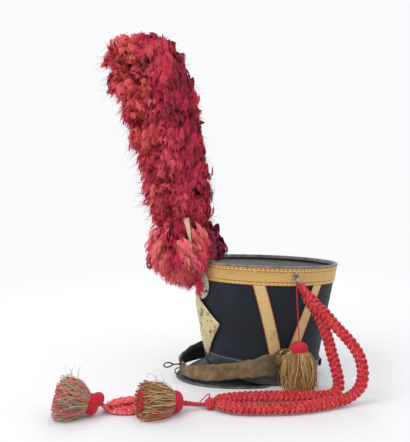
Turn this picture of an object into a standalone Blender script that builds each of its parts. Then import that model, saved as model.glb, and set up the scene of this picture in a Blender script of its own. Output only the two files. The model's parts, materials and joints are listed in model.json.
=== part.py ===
"""A shako hat with a feather plume, braided cords and tassels, resting on a flat surface.

Lengths are in metres and +Z is up. The front is -Y and the wearer's left is +X. The base's lower edge and
the cords lie on z = 0. Angles run round the hat from the front (0) towards the wearer's left (+90 degrees).
"""

import math
import random
from collections import namedtuple

import bmesh
import bpy
from mathutils import Matrix, Vector

# Gap between pieces that touch
GAP = 0.0003

# Crown: a flared oval wall of felt, its front edge arched over the peak's seam
HEIGHT = 0.2036
WALL = 0.003
BASE_HALF_WIDTH = 0.0834
BASE_HALF_LENGTH = 0.098
TOP_HALF_WIDTH = 0.1231
TOP_HALF_LENGTH = 0.1284
TOP_SHIFT = 0.0065
TOP_SLOPE = 0.032
FRONT_RISE = 0.027
RING_STEPS = 48

# Top: a sunken leather disc and a binding folded over the edge
TOP_DEPTH = 0.009
TOP_THICKNESS = 0.002
RIM_THICKNESS = 0.0012
RIM_DROP = 0.003

# Lace: the wide one round the top and the V on each side
LACE_THICKNESS = 0.0012
LACE_WIDTH = 0.0285
CHEVRON_WIDTH = 0.0212
CHEVRON_ANGLE = math.radians(90.6)
CHEVRON_POINT_HEIGHT = 0.002  # where the arms' middles would meet
CHEVRON_SPREAD = math.radians(143.5)  # widening for each metre of height

# Base band
BAND_HEIGHT = 0.0395
BAND_TILT = 0.0095
BAND_THICKNESS = 0.002

# Peak and its binding
PEAK_HALF_ANGLE = math.radians(78)
PEAK_DEPTH = 0.0534
PEAK_SIDE = 0.0129
PEAK_THICKNESS = 0.0025
PEAK_BULGE = 0.003
BINDING_RADIUS = 0.0018

# Front plate and cockade
PLATE_HALF_WIDTH = 0.050
PLATE_HALF_HEIGHT = 0.056
PLATE_ANGLE = math.radians(5)
PLATE_CENTRE_HEIGHT = 0.096
PLATE_TILT = math.radians(8)
PLATE_THICKNESS = 0.001
PLATE_BORDER = 0.001
COCKADE_RADIUS = 0.0275
COCKADE_ANGLE = math.radians(8)
COCKADE_CENTRE_HEIGHT = HEIGHT - 0.0351
COCKADE_THICKNESS = 0.0018
COCKADE_DOME = 0.0015

# Chin strap and its fittings
STRAP_WIDTH = 0.042
STRAP_THICKNESS = 0.0022
TIE_HALF_ANGLE = math.radians(6)
TIE_THICKNESS = 0.005
TIE_HEIGHT = 0.014
ROSETTE_RADIUS = 0.017
ROSETTE_ANGLE = math.radians(91)
ROSETTE_CENTRE_HEIGHT = 0.051
HOOK_WIRE_RADIUS = 0.0012
HOOK_SHANK = 0.015
HOOK_EYE_LENGTH = 0.016
HOOK_EYE_WIDTH = 0.010
HOOK_HEIGHT = 0.0245
RING_RADIUS = 0.0055
RING_WIRE_RADIUS = 0.001
RING_HEIGHT = 0.0125
BUTTON_RADIUS = 0.0073
BUTTON_THICKNESS = 0.006
BUTTON_ANGLE = math.radians(165)
BUTTON_HEIGHT = 0.018

# Plume: a feather ball in front of the crown's edge, a quill and the tall plume
BALL_RADIUS = 0.046
BALL_HALF_HEIGHT = 0.038
BALL_FORWARD = 0.018
BALL_CENTRE_HEIGHT = HEIGHT + 0.0114
BALL_LOCK = 0.020
STEM_RADIUS = 0.0035
STEM_LENGTH = 0.008
PLUME_HEIGHT = 0.322
PLUME_RADIUS = 0.062
PLUME_LEAN = 0.228
PLUME_LOCK = 0.019
PLUME_STEPS = 13
PLUME_ROWS = 15
FEATHER_SEED = 7

# Cord hook, side tassel and lying tassels
CORD_HOOK_ANGLE = math.radians(93)
CORD_HOOK_DROP = 0.0145
CORD_HOOK_RADIUS = 0.0065
CORD_HOOK_THICKNESS = 0.003
CORD_HOOK_WIRE_RADIUS = 0.0014
TASSEL_HEAD_RADIUS = 0.0135
TASSEL_LENGTH = 0.082
TASSEL_FRINGE_RADIUS = 0.030
TASSEL_CLEARANCE = 0.004
TASSEL_OUT = 0.0105
THREAD_LEAN = 0.0040
THREAD_DROP = 0.005
LYING_HEAD_RADIUS = 0.0155
MIDDLE_TASSEL_LENGTH = 0.069
MIDDLE_FRINGE_RADIUS = 0.025
END_TASSEL_LENGTH = 0.067
END_FRINGE_RADIUS = 0.031
TASSEL_LOCKS = 11

# Cords, with the routes of their centre lines
BRAID_RADIUS = 0.0065
TWIST_RADIUS = 0.003
THREAD_RADIUS = 0.0012
KNOT_RADIUS = 0.009
RAQUETTE_HALF_LENGTH = 0.039
RAQUETTE_HALF_WIDTH = 0.031
RAQUETTE_THICKNESS = 0.007
RAQUETTE_CENTRE = Vector((0.122, -0.2575, RAQUETTE_THICKNESS / 2 + GAP))
RAQUETTE_DIRECTION = math.radians(-68)
RAQUETTE_RISE = 0.75  # share of the half length where the point starts to rise
LEAD_INNER_ROUTE = (
    (0.1300, 0.0137, 0.1755), (0.1298, 0.0151, 0.1715), (0.1296, 0.0188, 0.1660), (0.1296, 0.0246, 0.1601),
)
LEAD_OUTER_ROUTE = (
    (0.1355, 0.0175, 0.1775), (0.1378, 0.0185, 0.1730), (0.1412, 0.0208, 0.1672), (0.1459, 0.0252, 0.1599),
)
BRAID_INNER_ROUTE = (
    (0.1300, 0.0255, 0.1585), (0.1350, 0.0325, 0.1455), (0.1415, 0.0400, 0.1320), (0.1485, 0.0465, 0.1145),
    (0.1555, 0.0515, 0.0930), (0.1615, 0.0555, 0.0700), (0.1675, 0.0590, 0.0500), (0.1720, 0.0610, 0.0335),
    (0.1750, 0.0600, 0.0210), (0.1760, 0.0550, 0.0120), (0.1745, 0.0445, 0.0072), (0.1730, 0.0320, 0.0068),
    (0.1700, 0.0170, 0.0068), (0.1640, -0.0010, 0.0068), (0.1570, -0.0290, 0.0068), (0.1505, -0.0590, 0.0068),
    (0.1465, -0.0900, 0.0068), (0.1485, -0.1140, 0.0070), (0.1553, -0.1319, 0.0078),
)
BRAID_OUTER_ROUTE = (
    (0.1465, 0.0260, 0.1585), (0.1515, 0.0325, 0.1450), (0.1590, 0.0450, 0.1325), (0.1675, 0.0565, 0.1165),
    (0.1755, 0.0680, 0.1025), (0.1830, 0.0780, 0.0890), (0.1900, 0.0860, 0.0730), (0.1950, 0.0890, 0.0555),
    (0.1970, 0.0885, 0.0415), (0.1985, 0.0835, 0.0275), (0.1985, 0.0730, 0.0155), (0.1990, 0.0580, 0.0085),
    (0.2035, 0.0300, 0.0068), (0.2085, 0.0000, 0.0068), (0.2080, -0.0350, 0.0068), (0.2030, -0.0630, 0.0068),
    (0.1960, -0.0920, 0.0068), (0.1850, -0.1150, 0.0070), (0.1668, -0.1335, 0.0078),
)
KNOT_CENTRE = Vector((0.1600, -0.1400, 0.0088))
TAIL_MIDDLE_ROUTE = (
    (0.1577, -0.1492, 0.0078), (0.1575, -0.1560, 0.0085), (0.1580, -0.1640, 0.0100), (0.1590, -0.1730, 0.0125),
    (0.1592, -0.1815, 0.0148),
)
TAIL_END_ROUTE = (
    (0.1522, -0.1443, 0.0055), (0.1465, -0.1500, 0.0040), (0.1400, -0.1590, 0.0033), (0.1340, -0.1720, 0.0033),
    (0.1290, -0.1880, 0.0033), (0.1235, -0.2020, 0.0033), (0.1190, -0.2120, 0.0034), (0.1165, -0.2190, 0.0036),
)
MIDDLE_TASSEL_START = Vector((0.1594, -0.1828, 0.0157))
MIDDLE_TASSEL_END = Vector((0.1690, -0.2500, 0.0235))
END_TASSEL_START = Vector((0.1405, -0.2985, 0.0157))
END_TASSEL_END = Vector((0.1350, -0.3720, 0.0330))

Finish = namedtuple("Finish", "name colour roughness metallic")
FELT = Finish("black_felt", (0.012, 0.016, 0.026), 0.9, 0.0)
BLACK_LEATHER = Finish("black_leather", (0.03, 0.034, 0.036), 0.45, 0.0)
BROWN_LEATHER = Finish("brown_leather", (0.2, 0.15, 0.1), 0.6, 0.0)
GOLD_LACE = Finish("gold_lace", (0.6, 0.4, 0.13), 0.5, 0.2)
GOLD_FRINGE = Finish("gold_fringe", (0.36, 0.25, 0.09), 0.6, 0.1)
PLATE_BRASS = Finish("plate_brass", (0.6, 0.52, 0.32), 0.4, 0.8)
DARK_METAL = Finish("dark_metal", (0.16, 0.15, 0.14), 0.45, 0.9)
COCKADE_CLOTH = Finish("cockade_cloth", (0.75, 0.7, 0.62), 0.8, 0.0)
FEATHER = Finish("red_feather", (0.5, 0.02, 0.05), 0.8, 0.0)
QUILL = Finish("quill", (0.72, 0.55, 0.38), 0.6, 0.0)
RED_CORD = Finish("red_cord", (0.7, 0.03, 0.06), 0.7, 0.0)

# One row of the chin strap: angle in degrees from the front, reach from the crown (0) to the peak's edge (1),
# lift above the peak or floor and width, both as shares of STRAP_WIDTH
StrapRow = namedtuple("StrapRow", "angle reach lift width")
LEFT_STRAP = (
    StrapRow(98, 0.00, 0.66, 0.80),
    StrapRow(90, 0.00, 0.50, 1.10),
    StrapRow(76, 0.00, 0.34, 0.94),
    StrapRow(60, 0.00, 0.18, 0.79),
    StrapRow(52, 0.08, 0.06, 0.71),
    StrapRow(46, 0.45, 0.03, 0.70),
    StrapRow(41, 0.74, 0.04, 0.70),
    StrapRow(32, 0.84, 0.01, 0.68),
    StrapRow(22, 0.87, 0.01, 0.57),
    StrapRow(10, 0.86, 0.01, 0.43),
    StrapRow(1.6, 0.86, 0.05, 0.31),
)
RIGHT_STRAP = (
    StrapRow(98, 0.00, 0.66, 0.80),
    StrapRow(90, 0.00, 0.50, 1.10),
    StrapRow(78, 0.04, 0.36, 0.98),
    StrapRow(68, 0.35, 0.26, 0.90),
    StrapRow(60, 0.62, 0.14, 0.84),
    StrapRow(50, 0.78, 0.12, 0.79),
    StrapRow(38, 0.84, 0.12, 0.68),
    StrapRow(26, 0.87, 0.13, 0.52),
    StrapRow(14, 0.86, 0.15, 0.42),
    StrapRow(5, 0.86, 0.19, 0.34),
    StrapRow(1.6, 0.86, 0.21, 0.30),
)

# One row of the tall plume: height as a share of PLUME_HEIGHT, radius as a share of PLUME_RADIUS
PlumeRow = namedtuple("PlumeRow", "height radius")
PLUME_ROWS_TABLE = (
    PlumeRow(0.00, 0.36),
    PlumeRow(0.05, 0.60),
    PlumeRow(0.14, 0.70),
    PlumeRow(0.28, 0.70),
    PlumeRow(0.45, 0.74),
    PlumeRow(0.66, 0.97),
    PlumeRow(0.80, 0.96),
    PlumeRow(0.92, 0.80),
    PlumeRow(1.00, 0.45),
)

# One row of a tassel: place along it as a share of its length, radius as a share of the head's or fringe's
TasselRow = namedtuple("TasselRow", "place head fringe")
TASSEL_ROWS = (
    TasselRow(0.00, 0.45, 0.00),
    TasselRow(0.06, 1.00, 0.00),
    TasselRow(0.16, 1.00, 0.00),
    TasselRow(0.22, 0.70, 0.00),
    TasselRow(0.26, 0.85, 0.00),
    TasselRow(0.50, 0.40, 0.54),
    TasselRow(0.80, 0.00, 0.91),
    TasselRow(1.00, 0.00, 1.00),
)


def clear_scene():
    """Removes the objects of the scene that the file was opened with."""
    for item in list(bpy.data.objects):
        bpy.data.objects.remove(item, do_unlink=True)


def make_collection(name):
    """Adds a collection to the scene."""
    collection = bpy.data.collections.new(name)
    bpy.context.scene.collection.children.link(collection)
    return collection


def material_of(finish):
    """Returns the material of a finish, made on its first use."""
    material = bpy.data.materials.get(finish.name)
    if material is None:
        material = bpy.data.materials.new(finish.name)
        material.use_nodes = True
        shader = material.node_tree.nodes["Principled BSDF"]
        shader.inputs["Base Color"].default_value = (*finish.colour, 1.0)
        shader.inputs["Roughness"].default_value = finish.roughness
        shader.inputs["Metallic"].default_value = finish.metallic
    return material


def add_mesh(name, bm, finish, collection, smooth=True):
    """Makes an object from a bmesh, which it frees."""
    mesh = bpy.data.meshes.new(name)
    bm.to_mesh(mesh)
    bm.free()
    if smooth:
        mesh.shade_smooth()
        mesh.set_sharp_from_angle(angle=math.radians(40))
    item = bpy.data.objects.new(name, mesh)
    item.data.materials.append(material_of(finish))
    collection.objects.link(item)
    return item


def face_outwards(bm):
    """Turns the faces of a closed mesh outwards."""
    bmesh.ops.recalc_face_normals(bm, faces=bm.faces)
    if bm.calc_volume(signed=True) < 0:
        bmesh.ops.reverse_faces(bm, faces=bm.faces)


def add_thickness(item, thickness):
    """Thickens an open surface to the side that its faces point to."""
    solidify = item.modifiers.new("thickness", "SOLIDIFY")
    solidify.thickness = thickness
    solidify.offset = 1.0
    solidify.use_even_offset = True


def union_with(item, other):
    """Joins another closed mesh to an object and removes that mesh's own object."""
    boolean = item.modifiers.new("union", "BOOLEAN")
    boolean.operation = "UNION"
    boolean.solver = "EXACT"
    boolean.object = other
    apply_modifiers(item)
    bpy.data.objects.remove(other, do_unlink=True)


def apply_modifiers(item):
    """Replaces an object's mesh by its evaluated one."""
    depsgraph = bpy.context.evaluated_depsgraph_get()
    mesh = bpy.data.meshes.new_from_object(item.evaluated_get(depsgraph), depsgraph=depsgraph)
    item.modifiers.clear()
    item.data = mesh


def smooth_value(share):
    """Eases a value from 0 to 1."""
    share = min(max(share, 0.0), 1.0)
    return share * share * (3 - 2 * share)


def read_row(rows, key, column, value):
    """Reads a column of a table at a value of its key column, on a smooth curve through the rows."""
    rows = sorted(rows, key=lambda row: getattr(row, key))
    keys = [getattr(row, key) for row in rows]
    values = [getattr(row, column) for row in rows]
    value = min(max(value, keys[0]), keys[-1])
    last = max(index for index in range(len(keys) - 1) if keys[index] <= value)
    share = (value - keys[last]) / (keys[last + 1] - keys[last])
    return values[last] + (values[last + 1] - values[last]) * smooth_value(share)


def smooth_route(points, steps):
    """Points of a smooth curve through the chosen ones, `steps` to each stretch."""
    points = [Vector(point) for point in points]
    ends = [2 * points[0] - points[1], *points, 2 * points[-1] - points[-2]]
    curve = []
    for before, start, end, after in zip(ends, ends[1:], ends[2:], ends[3:]):
        for step in range(steps):
            share = step / steps
            leave = (end - before) / 2
            arrive = (after - start) / 2
            curve.append(
                start * (2 * share**3 - 3 * share**2 + 1)
                + leave * (share**3 - 2 * share**2 + share)
                + end * (3 * share**2 - 2 * share**3)
                + arrive * (share**3 - share**2)
            )
    curve.append(points[-1])
    return curve


def add_wire(name, points, radius, finish, collection, resolution=2):
    """A round wire or cord along points."""
    curve = bpy.data.curves.new(name, "CURVE")
    curve.dimensions = "3D"
    curve.bevel_depth = radius
    curve.bevel_resolution = resolution
    curve.use_fill_caps = True
    spline = curve.splines.new("POLY")
    spline.points.add(len(points) - 1)
    for place, point in zip(spline.points, points):
        place.co = (*point, 1.0)
    item = bpy.data.objects.new(name, curve)
    curve.materials.append(material_of(finish))
    collection.objects.link(item)
    return item


def mesh_of_wire(item, collection):
    """Turns a wire into a closed mesh, so that it can be joined to another."""
    depsgraph = bpy.context.evaluated_depsgraph_get()
    mesh = bpy.data.meshes.new_from_object(item.evaluated_get(depsgraph), depsgraph=depsgraph)
    bm = bmesh.new()
    bm.from_mesh(mesh)
    bmesh.ops.remove_doubles(bm, verts=bm.verts, dist=0.00001)
    face_outwards(bm)
    bm.to_mesh(mesh)
    bm.free()
    solid = bpy.data.objects.new(item.name + "_mesh", mesh)
    solid.matrix_world = item.matrix_world
    collection.objects.link(solid)
    bpy.data.objects.remove(item, do_unlink=True)
    return solid


def half_sizes(height, out):
    """Half width and half length of the crown's oval at a height, `out` outside the felt."""
    share = height / HEIGHT
    half_width = BASE_HALF_WIDTH + (TOP_HALF_WIDTH - BASE_HALF_WIDTH) * share + out
    half_length = BASE_HALF_LENGTH + (TOP_HALF_LENGTH - BASE_HALF_LENGTH) * share + out
    return half_width, half_length


def crown_point(angle, height, out=0.0):
    """Point `out` outside the felt's outer face."""
    half_width, half_length = half_sizes(height, out)
    shift = TOP_SHIFT * height / HEIGHT
    return Vector((half_width * math.sin(angle), shift - half_length * math.cos(angle), height))


def crown_direction(angle, height):
    """Direction that the felt's outer face points to."""
    step = 0.001
    along = crown_point(angle + step, height) - crown_point(angle - step, height)
    up = crown_point(angle, height + step) - crown_point(angle, height - step)
    return along.cross(up).normalized()


def rim_height(angle):
    """Height of the binding's upper edge, which falls towards the back."""
    return HEIGHT + TOP_SLOPE * (TOP_HALF_LENGTH * math.cos(angle) - TOP_SHIFT)


def wrapped(angle):
    """The same angle between -180 and +180 degrees."""
    return math.atan2(math.sin(angle), math.cos(angle))


def felt_bottom(angle):
    """Height of the felt's lower edge, arched over the peak's seam."""
    share = abs(wrapped(angle)) / PEAK_HALF_ANGLE
    return FRONT_RISE * math.cos(share * math.pi / 2) ** 2 if share < 1 else 0.0


def felt_top(angle):
    """Height of the felt's upper edge, under the binding."""
    return rim_height(angle) - RIM_THICKNESS - GAP


def band_bottom(angle):
    """Height of the base band's lower edge, raised where it clears the peak's seam."""
    fade = math.radians(7)
    share = smooth_value((PEAK_HALF_ANGLE + fade + math.radians(1) - abs(wrapped(angle))) / fade)
    return felt_bottom(angle) + GAP + (PEAK_THICKNESS * 1.2 + 2 * GAP) * share


def band_top(angle):
    """Height of the base band's upper edge."""
    return BAND_HEIGHT + BAND_TILT * math.cos(angle)


def lace_bottom(angle):
    """Height of the top lace's lower edge."""
    return rim_height(angle) - RIM_DROP - GAP - LACE_WIDTH


def add_ring(name, section, finish, collection):
    """A closed section spun once round the crown; each of its corners is (out, height by angle)."""
    spin_radius = 1.0
    bm = bmesh.new()
    corners = [bm.verts.new((0.0, -(spin_radius + index), 0.0)) for index in range(len(section))]
    edges = [bm.edges.new((corners[index - 1], corners[index])) for index in range(len(section))]
    bmesh.ops.spin(
        bm, geom=edges, cent=(0, 0, 0), axis=(0, 0, 1), dvec=(0, 0, 0),
        angle=2 * math.pi, steps=RING_STEPS, use_merge=True,
    )
    for vert in bm.verts:
        out, height = section[round(vert.co.xy.length - spin_radius)]
        angle = math.atan2(vert.co.x, -vert.co.y)
        vert.co = crown_point(angle, height(angle), out)
    face_outwards(bm)
    return add_mesh(name, bm, finish, collection)


def bend_round_crown(bm, angle, height, out, side=1):
    """Bends a flat mesh, x to the wearer's left, y up and z outwards, round the crown at a place."""
    half_width, half_length = half_sizes(height, 0.0)
    arc = math.hypot(half_width * math.cos(angle), half_length * math.sin(angle))
    for vert in bm.verts:
        turn = angle + vert.co.x / arc
        vert.co = crown_point(side * turn, height + vert.co.y, out(vert.co) + vert.co.z)
    if side < 0:
        bmesh.ops.reverse_faces(bm, faces=bm.faces)


def build_crown(collection):
    """The felt body, open below and above."""
    section = ((0.0, felt_bottom), (0.0, felt_top), (-WALL, felt_top), (-WALL, felt_bottom))
    add_ring("crown", section, FELT, collection)


def build_top(collection):
    """The sunken leather disc and the binding over the felt's edge."""
    bm = bmesh.new()
    bmesh.ops.create_cone(
        bm, cap_ends=True, cap_tris=False, segments=RING_STEPS, radius1=1.0, radius2=1.0, depth=1.0,
    )
    for vert in bm.verts:
        angle = math.atan2(vert.co.x, -vert.co.y)
        height = rim_height(angle) - TOP_DEPTH - (TOP_THICKNESS if vert.co.z < 0 else 0.0)
        vert.co = crown_point(angle, height, -WALL - 2 * GAP)
    add_mesh("top_leather", bm, BLACK_LEATHER, collection)

    outside = GAP + RIM_THICKNESS
    inside = -WALL - GAP
    section = (
        (GAP, lambda angle: rim_height(angle) - RIM_DROP),
        (outside, lambda angle: rim_height(angle) - RIM_DROP),
        (outside, rim_height),
        (inside - RIM_THICKNESS, rim_height),
        (inside - RIM_THICKNESS, lambda angle: rim_height(angle) - RIM_DROP),
        (inside, lambda angle: rim_height(angle) - RIM_DROP),
        (inside, lambda angle: rim_height(angle) - RIM_THICKNESS),
        (GAP, lambda angle: rim_height(angle) - RIM_THICKNESS),
    )
    add_ring("top_rim", section, BLACK_LEATHER, collection)


def build_bands(collection):
    """The wide lace round the top and the leather band round the base."""
    def lace_top(angle):
        return rim_height(angle) - RIM_DROP - GAP

    outside = GAP + LACE_THICKNESS
    section = ((GAP, lace_bottom), (outside, lace_bottom), (outside, lace_top), (GAP, lace_top))
    add_ring("top_lace", section, GOLD_LACE, collection)

    outside = GAP + BAND_THICKNESS
    section = ((GAP, band_bottom), (outside, band_bottom), (outside, band_top), (GAP, band_top))
    add_ring("base_band", section, BLACK_LEATHER, collection)


def chevron_edges(height):
    """Inner and outer edge of a lace arm, as angles from the V's middle, at a height."""
    middle = CHEVRON_SPREAD * (height - CHEVRON_POINT_HEIGHT)
    half = CHEVRON_WIDTH / 2 / half_sizes(height, 0.0)[1]
    return max(0.0, middle - half), middle + half


def build_chevron(name, side, collection):
    """One V of lace: two arms from the top lace down to the base band, one sheet below their meeting."""
    columns, rows, low_rows = 4, 6, 1
    meeting = CHEVRON_POINT_HEIGHT + CHEVRON_WIDTH / 2 / BASE_HALF_LENGTH / CHEVRON_SPREAD
    meeting = CHEVRON_POINT_HEIGHT + CHEVRON_WIDTH / 2 / half_sizes(meeting, 0.0)[1] / CHEVRON_SPREAD
    bm = bmesh.new()
    for arm in (-1, 1):
        made = bmesh.ops.create_grid(bm, x_segments=columns, y_segments=rows, size=0.5)["verts"]
        for vert in made:
            across, row = vert.co.x + 0.5, round((vert.co.y + 0.5) * rows)
            angle = CHEVRON_ANGLE
            for _ in range(3):
                low, high = band_top(angle) + GAP, lace_bottom(angle) - GAP
                if row <= low_rows:
                    height = low + (meeting - low) * row / low_rows
                else:
                    height = meeting + (high - meeting) * (row - low_rows) / (rows - low_rows)
                inner, outer = chevron_edges(height)
                left, right = (-outer, -inner) if arm < 0 else (inner, outer)
                angle = CHEVRON_ANGLE + left + (right - left) * across
            vert.co = crown_point(side * angle, height, GAP)
    bmesh.ops.remove_doubles(bm, verts=bm.verts, dist=0.0001)
    if side < 0:
        bmesh.ops.reverse_faces(bm, faces=bm.faces)
    item = add_mesh(name, bm, GOLD_LACE, collection)
    add_thickness(item, LACE_THICKNESS)


def peak_edge(angle):
    """Point of the peak's outer edge, at the middle of its binding."""
    share = abs(wrapped(angle)) / PEAK_HALF_ANGLE
    spread = max(0.0, math.cos(min(share, 1.0) * math.pi / 2)) ** 0.4
    clear = BINDING_RADIUS + BAND_THICKNESS + 3 * GAP
    half_width = BASE_HALF_WIDTH + clear + PEAK_SIDE * spread
    half_length = BASE_HALF_LENGTH + clear + PEAK_DEPTH * spread
    return Vector((half_width * math.sin(angle), -half_length * math.cos(angle), BINDING_RADIUS + GAP))


def peak_place(angle, reach):
    """Point of the peak's underside, from the seam (0) to the binding (1)."""
    seam = crown_point(angle, felt_bottom(angle) + GAP, GAP)
    step = 0.01
    along = peak_edge(angle + step) - peak_edge(angle - step)
    outward = Vector((along.y, -along.x, 0.0)).normalized()
    edge = peak_edge(angle) - outward * (BINDING_RADIUS + 2 * GAP + PEAK_THICKNESS / 2)
    edge.z = GAP
    share = felt_bottom(angle) / FRONT_RISE
    place = seam.lerp(edge, reach)
    place.z += PEAK_BULGE * share * math.sin(math.pi * reach)
    return place


def peak_cover(angle, reach):
    """Height of the peak's upper side, or of the floor beside it."""
    if abs(wrapped(angle)) > PEAK_HALF_ANGLE:
        return 0.0
    return peak_place(angle, reach).z + PEAK_THICKNESS * 1.2


def build_peak(collection):
    """The arched leather peak and the round binding along its edge."""
    columns, rows = 28, 4
    reach_angle = PEAK_HALF_ANGLE - math.radians(5)
    bm = bmesh.new()
    bmesh.ops.create_grid(bm, x_segments=columns, y_segments=rows, size=1.0)
    for vert in bm.verts:
        vert.co = peak_place(vert.co.x * reach_angle, (1 - vert.co.y) / 2)
    item = add_mesh("peak", bm, BLACK_LEATHER, collection)
    add_thickness(item, PEAK_THICKNESS)

    steps = 26
    points = [peak_edge(PEAK_HALF_ANGLE * (2 * step / steps - 1)) for step in range(steps + 1)]
    add_wire("peak_binding", points, BINDING_RADIUS, BLACK_LEATHER, collection)


def build_front_plate(collection):
    """The lozenge plate with a raised border, leaning on the base band and the cockade."""
    cells = 6
    bm = bmesh.new()
    bmesh.ops.create_grid(bm, x_segments=cells, y_segments=cells, size=0.5)
    turn = Matrix.Rotation(PLATE_TILT, 3, "Z")
    for vert in bm.verts:
        across, up = vert.co.x - vert.co.y, vert.co.x + vert.co.y
        border = PLATE_BORDER if max(abs(vert.co.x), abs(vert.co.y)) > 0.5 - 1.2 / cells else 0.0
        vert.co = turn @ Vector((across * PLATE_HALF_WIDTH, up * PLATE_HALF_HEIGHT, border))
    low = 2 * GAP + BAND_THICKNESS - PLATE_BORDER
    high = cockade_outside() + GAP

    def out(place):
        return low + (high - low) * smooth_value((place.y + PLATE_HALF_HEIGHT) / (2 * PLATE_HALF_HEIGHT) * 1.25)

    bend_round_crown(bm, PLATE_ANGLE, PLATE_CENTRE_HEIGHT, out)
    item = add_mesh("front_plate", bm, PLATE_BRASS, collection)
    add_thickness(item, PLATE_THICKNESS)


def cockade_outside():
    """Distance of the cockade's outer face from the felt."""
    return 2 * GAP + LACE_THICKNESS + COCKADE_THICKNESS + COCKADE_DOME


def build_cockade(collection):
    """The round cockade, slightly domed, over the lace."""
    rings, steps = 2, 22
    bm = bmesh.new()
    verts = [bm.verts.new((COCKADE_RADIUS * ring / rings, 0.0, 0.0)) for ring in range(rings + 1)]
    edges = [bm.edges.new((first, second)) for first, second in zip(verts, verts[1:])]
    bmesh.ops.spin(
        bm, geom=edges, cent=(0, 0, 0), axis=(0, 0, 1), dvec=(0, 0, 0),
        angle=2 * math.pi, steps=steps, use_merge=True,
    )
    bmesh.ops.remove_doubles(bm, verts=bm.verts, dist=0.0001)
    bmesh.ops.recalc_face_normals(bm, faces=bm.faces)
    if bm.faces[0].normal.z < 0:
        bmesh.ops.reverse_faces(bm, faces=bm.faces)
    for vert in bm.verts:
        vert.co.z = COCKADE_DOME * (1 - (vert.co.xy.length / COCKADE_RADIUS) ** 2)
    bend_round_crown(
        bm, COCKADE_ANGLE, COCKADE_CENTRE_HEIGHT, lambda place: 2 * GAP + LACE_THICKNESS,
    )
    item = add_mesh("cockade", bm, COCKADE_CLOTH, collection)
    add_thickness(item, COCKADE_THICKNESS)


def strap_place(angle, height, reach, shift=0.0):
    """Point of the chin strap's inner face at a height, `shift` further out."""
    foot = crown_point(angle, 0.0, STRAP_SEAT)
    lean = crown_point(angle, height, STRAP_SEAT) - foot
    edge = peak_edge(angle)
    outward = (edge - crown_point(angle, 0.0)).to_2d().normalized().to_3d()
    place = foot.lerp(edge, reach) + lean * (1.0 - 0.7 * reach * reach) + outward * shift
    place.z = height
    return place


# The strap lies over the base band and the V's lower end
STRAP_SEAT = 2 * GAP + BAND_THICKNESS


def build_chin_strap(name, rows, side, collection):
    """One half of the chin strap, from under its rosette to the tie at the front."""
    columns, bands = 26, 2
    start, end = min(row.angle for row in rows), max(row.angle for row in rows)
    bm = bmesh.new()
    bmesh.ops.create_grid(bm, x_segments=columns, y_segments=bands, size=0.5)
    for vert in bm.verts:
        degrees = start + (end - start) * (vert.co.x + 0.5)
        angle = math.radians(degrees)
        reach = read_row(rows, "angle", "reach", degrees)
        low = peak_cover(angle, reach) + GAP + STRAP_WIDTH * read_row(rows, "angle", "lift", degrees)
        width = STRAP_WIDTH * read_row(rows, "angle", "width", degrees)
        vert.co = strap_place(angle, low + width * (vert.co.y + 0.5), reach)
        vert.co.x *= side
    if side < 0:
        bmesh.ops.reverse_faces(bm, faces=bm.faces)
    item = add_mesh(name, bm, BROWN_LEATHER, collection)
    add_thickness(item, STRAP_THICKNESS)


def tie_bottom():
    """Height of the tie's lower edge over the peak."""
    inner_reach = LEFT_STRAP[-1].reach - (TIE_THICKNESS + 4 * GAP) / PEAK_DEPTH
    return peak_cover(0.0, inner_reach) + GAP


def build_strap_tie(collection):
    """The knot behind the strap's two ends, with the wire hook and the ring in front of it."""
    columns, rows = 6, 3
    reach = LEFT_STRAP[-1].reach
    bm = bmesh.new()
    bmesh.ops.create_grid(bm, x_segments=columns, y_segments=rows, size=0.5)
    for vert in bm.verts:
        angle = 2 * TIE_HALF_ANGLE * vert.co.x
        height = tie_bottom() + TIE_HEIGHT * (vert.co.y + 0.5)
        vert.co = strap_place(angle, height, reach, -TIE_THICKNESS - 2 * GAP)
    item = add_mesh("strap_tie", bm, BLACK_LEATHER, collection)
    add_thickness(item, TIE_THICKNESS)

    front = strap_place(0.0, HOOK_HEIGHT, reach).y + GAP
    eye = 12
    points = [Vector((0.0, front, HOOK_HEIGHT)), Vector((0.0, front - HOOK_SHANK, HOOK_HEIGHT))]
    for step in range(1, eye):
        turn = 2 * math.pi * step / eye
        along = HOOK_EYE_LENGTH / 2 * (1 - math.cos(turn))
        up = HOOK_EYE_WIDTH / 2 * math.sin(turn)
        points.append(Vector((0.0, front - HOOK_SHANK - along, HOOK_HEIGHT + up)))
    add_wire("strap_hook", points, HOOK_WIRE_RADIUS, DARK_METAL, collection)

    front = strap_place(0.0, RING_HEIGHT + RING_RADIUS / 3, reach).y + GAP
    bpy.ops.mesh.primitive_torus_add(
        major_radius=RING_RADIUS, minor_radius=RING_WIRE_RADIUS, major_segments=16, minor_segments=6,
        location=(0.0, front - RING_RADIUS - RING_WIRE_RADIUS, RING_HEIGHT), rotation=(0.0, math.pi / 2, 0.0),
    )
    ring = bpy.context.active_object
    ring.name = "strap_ring"
    ring.data.materials.append(material_of(DARK_METAL))
    ring.data.shade_smooth()
    move_to(ring, collection)


def move_to(item, collection):
    """Moves an object from the collections that it is in to another."""
    for old in list(item.users_collection):
        old.objects.unlink(item)
    collection.objects.link(item)


def add_turned(name, profile, steps, finish, collection):
    """A turned piece on the Z axis, its profile rows (radius, height) starting and ending on the axis."""
    bm = bmesh.new()
    verts = [bm.verts.new((radius, 0.0, height)) for radius, height in profile]
    edges = [bm.edges.new((first, second)) for first, second in zip(verts, verts[1:])]
    bmesh.ops.spin(
        bm, geom=edges, cent=(0, 0, 0), axis=(0, 0, 1), dvec=(0, 0, 0),
        angle=2 * math.pi, steps=steps, use_merge=True,
    )
    bmesh.ops.remove_doubles(bm, verts=bm.verts, dist=0.00001)
    face_outwards(bm)
    return add_mesh(name, bm, finish, collection)


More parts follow.
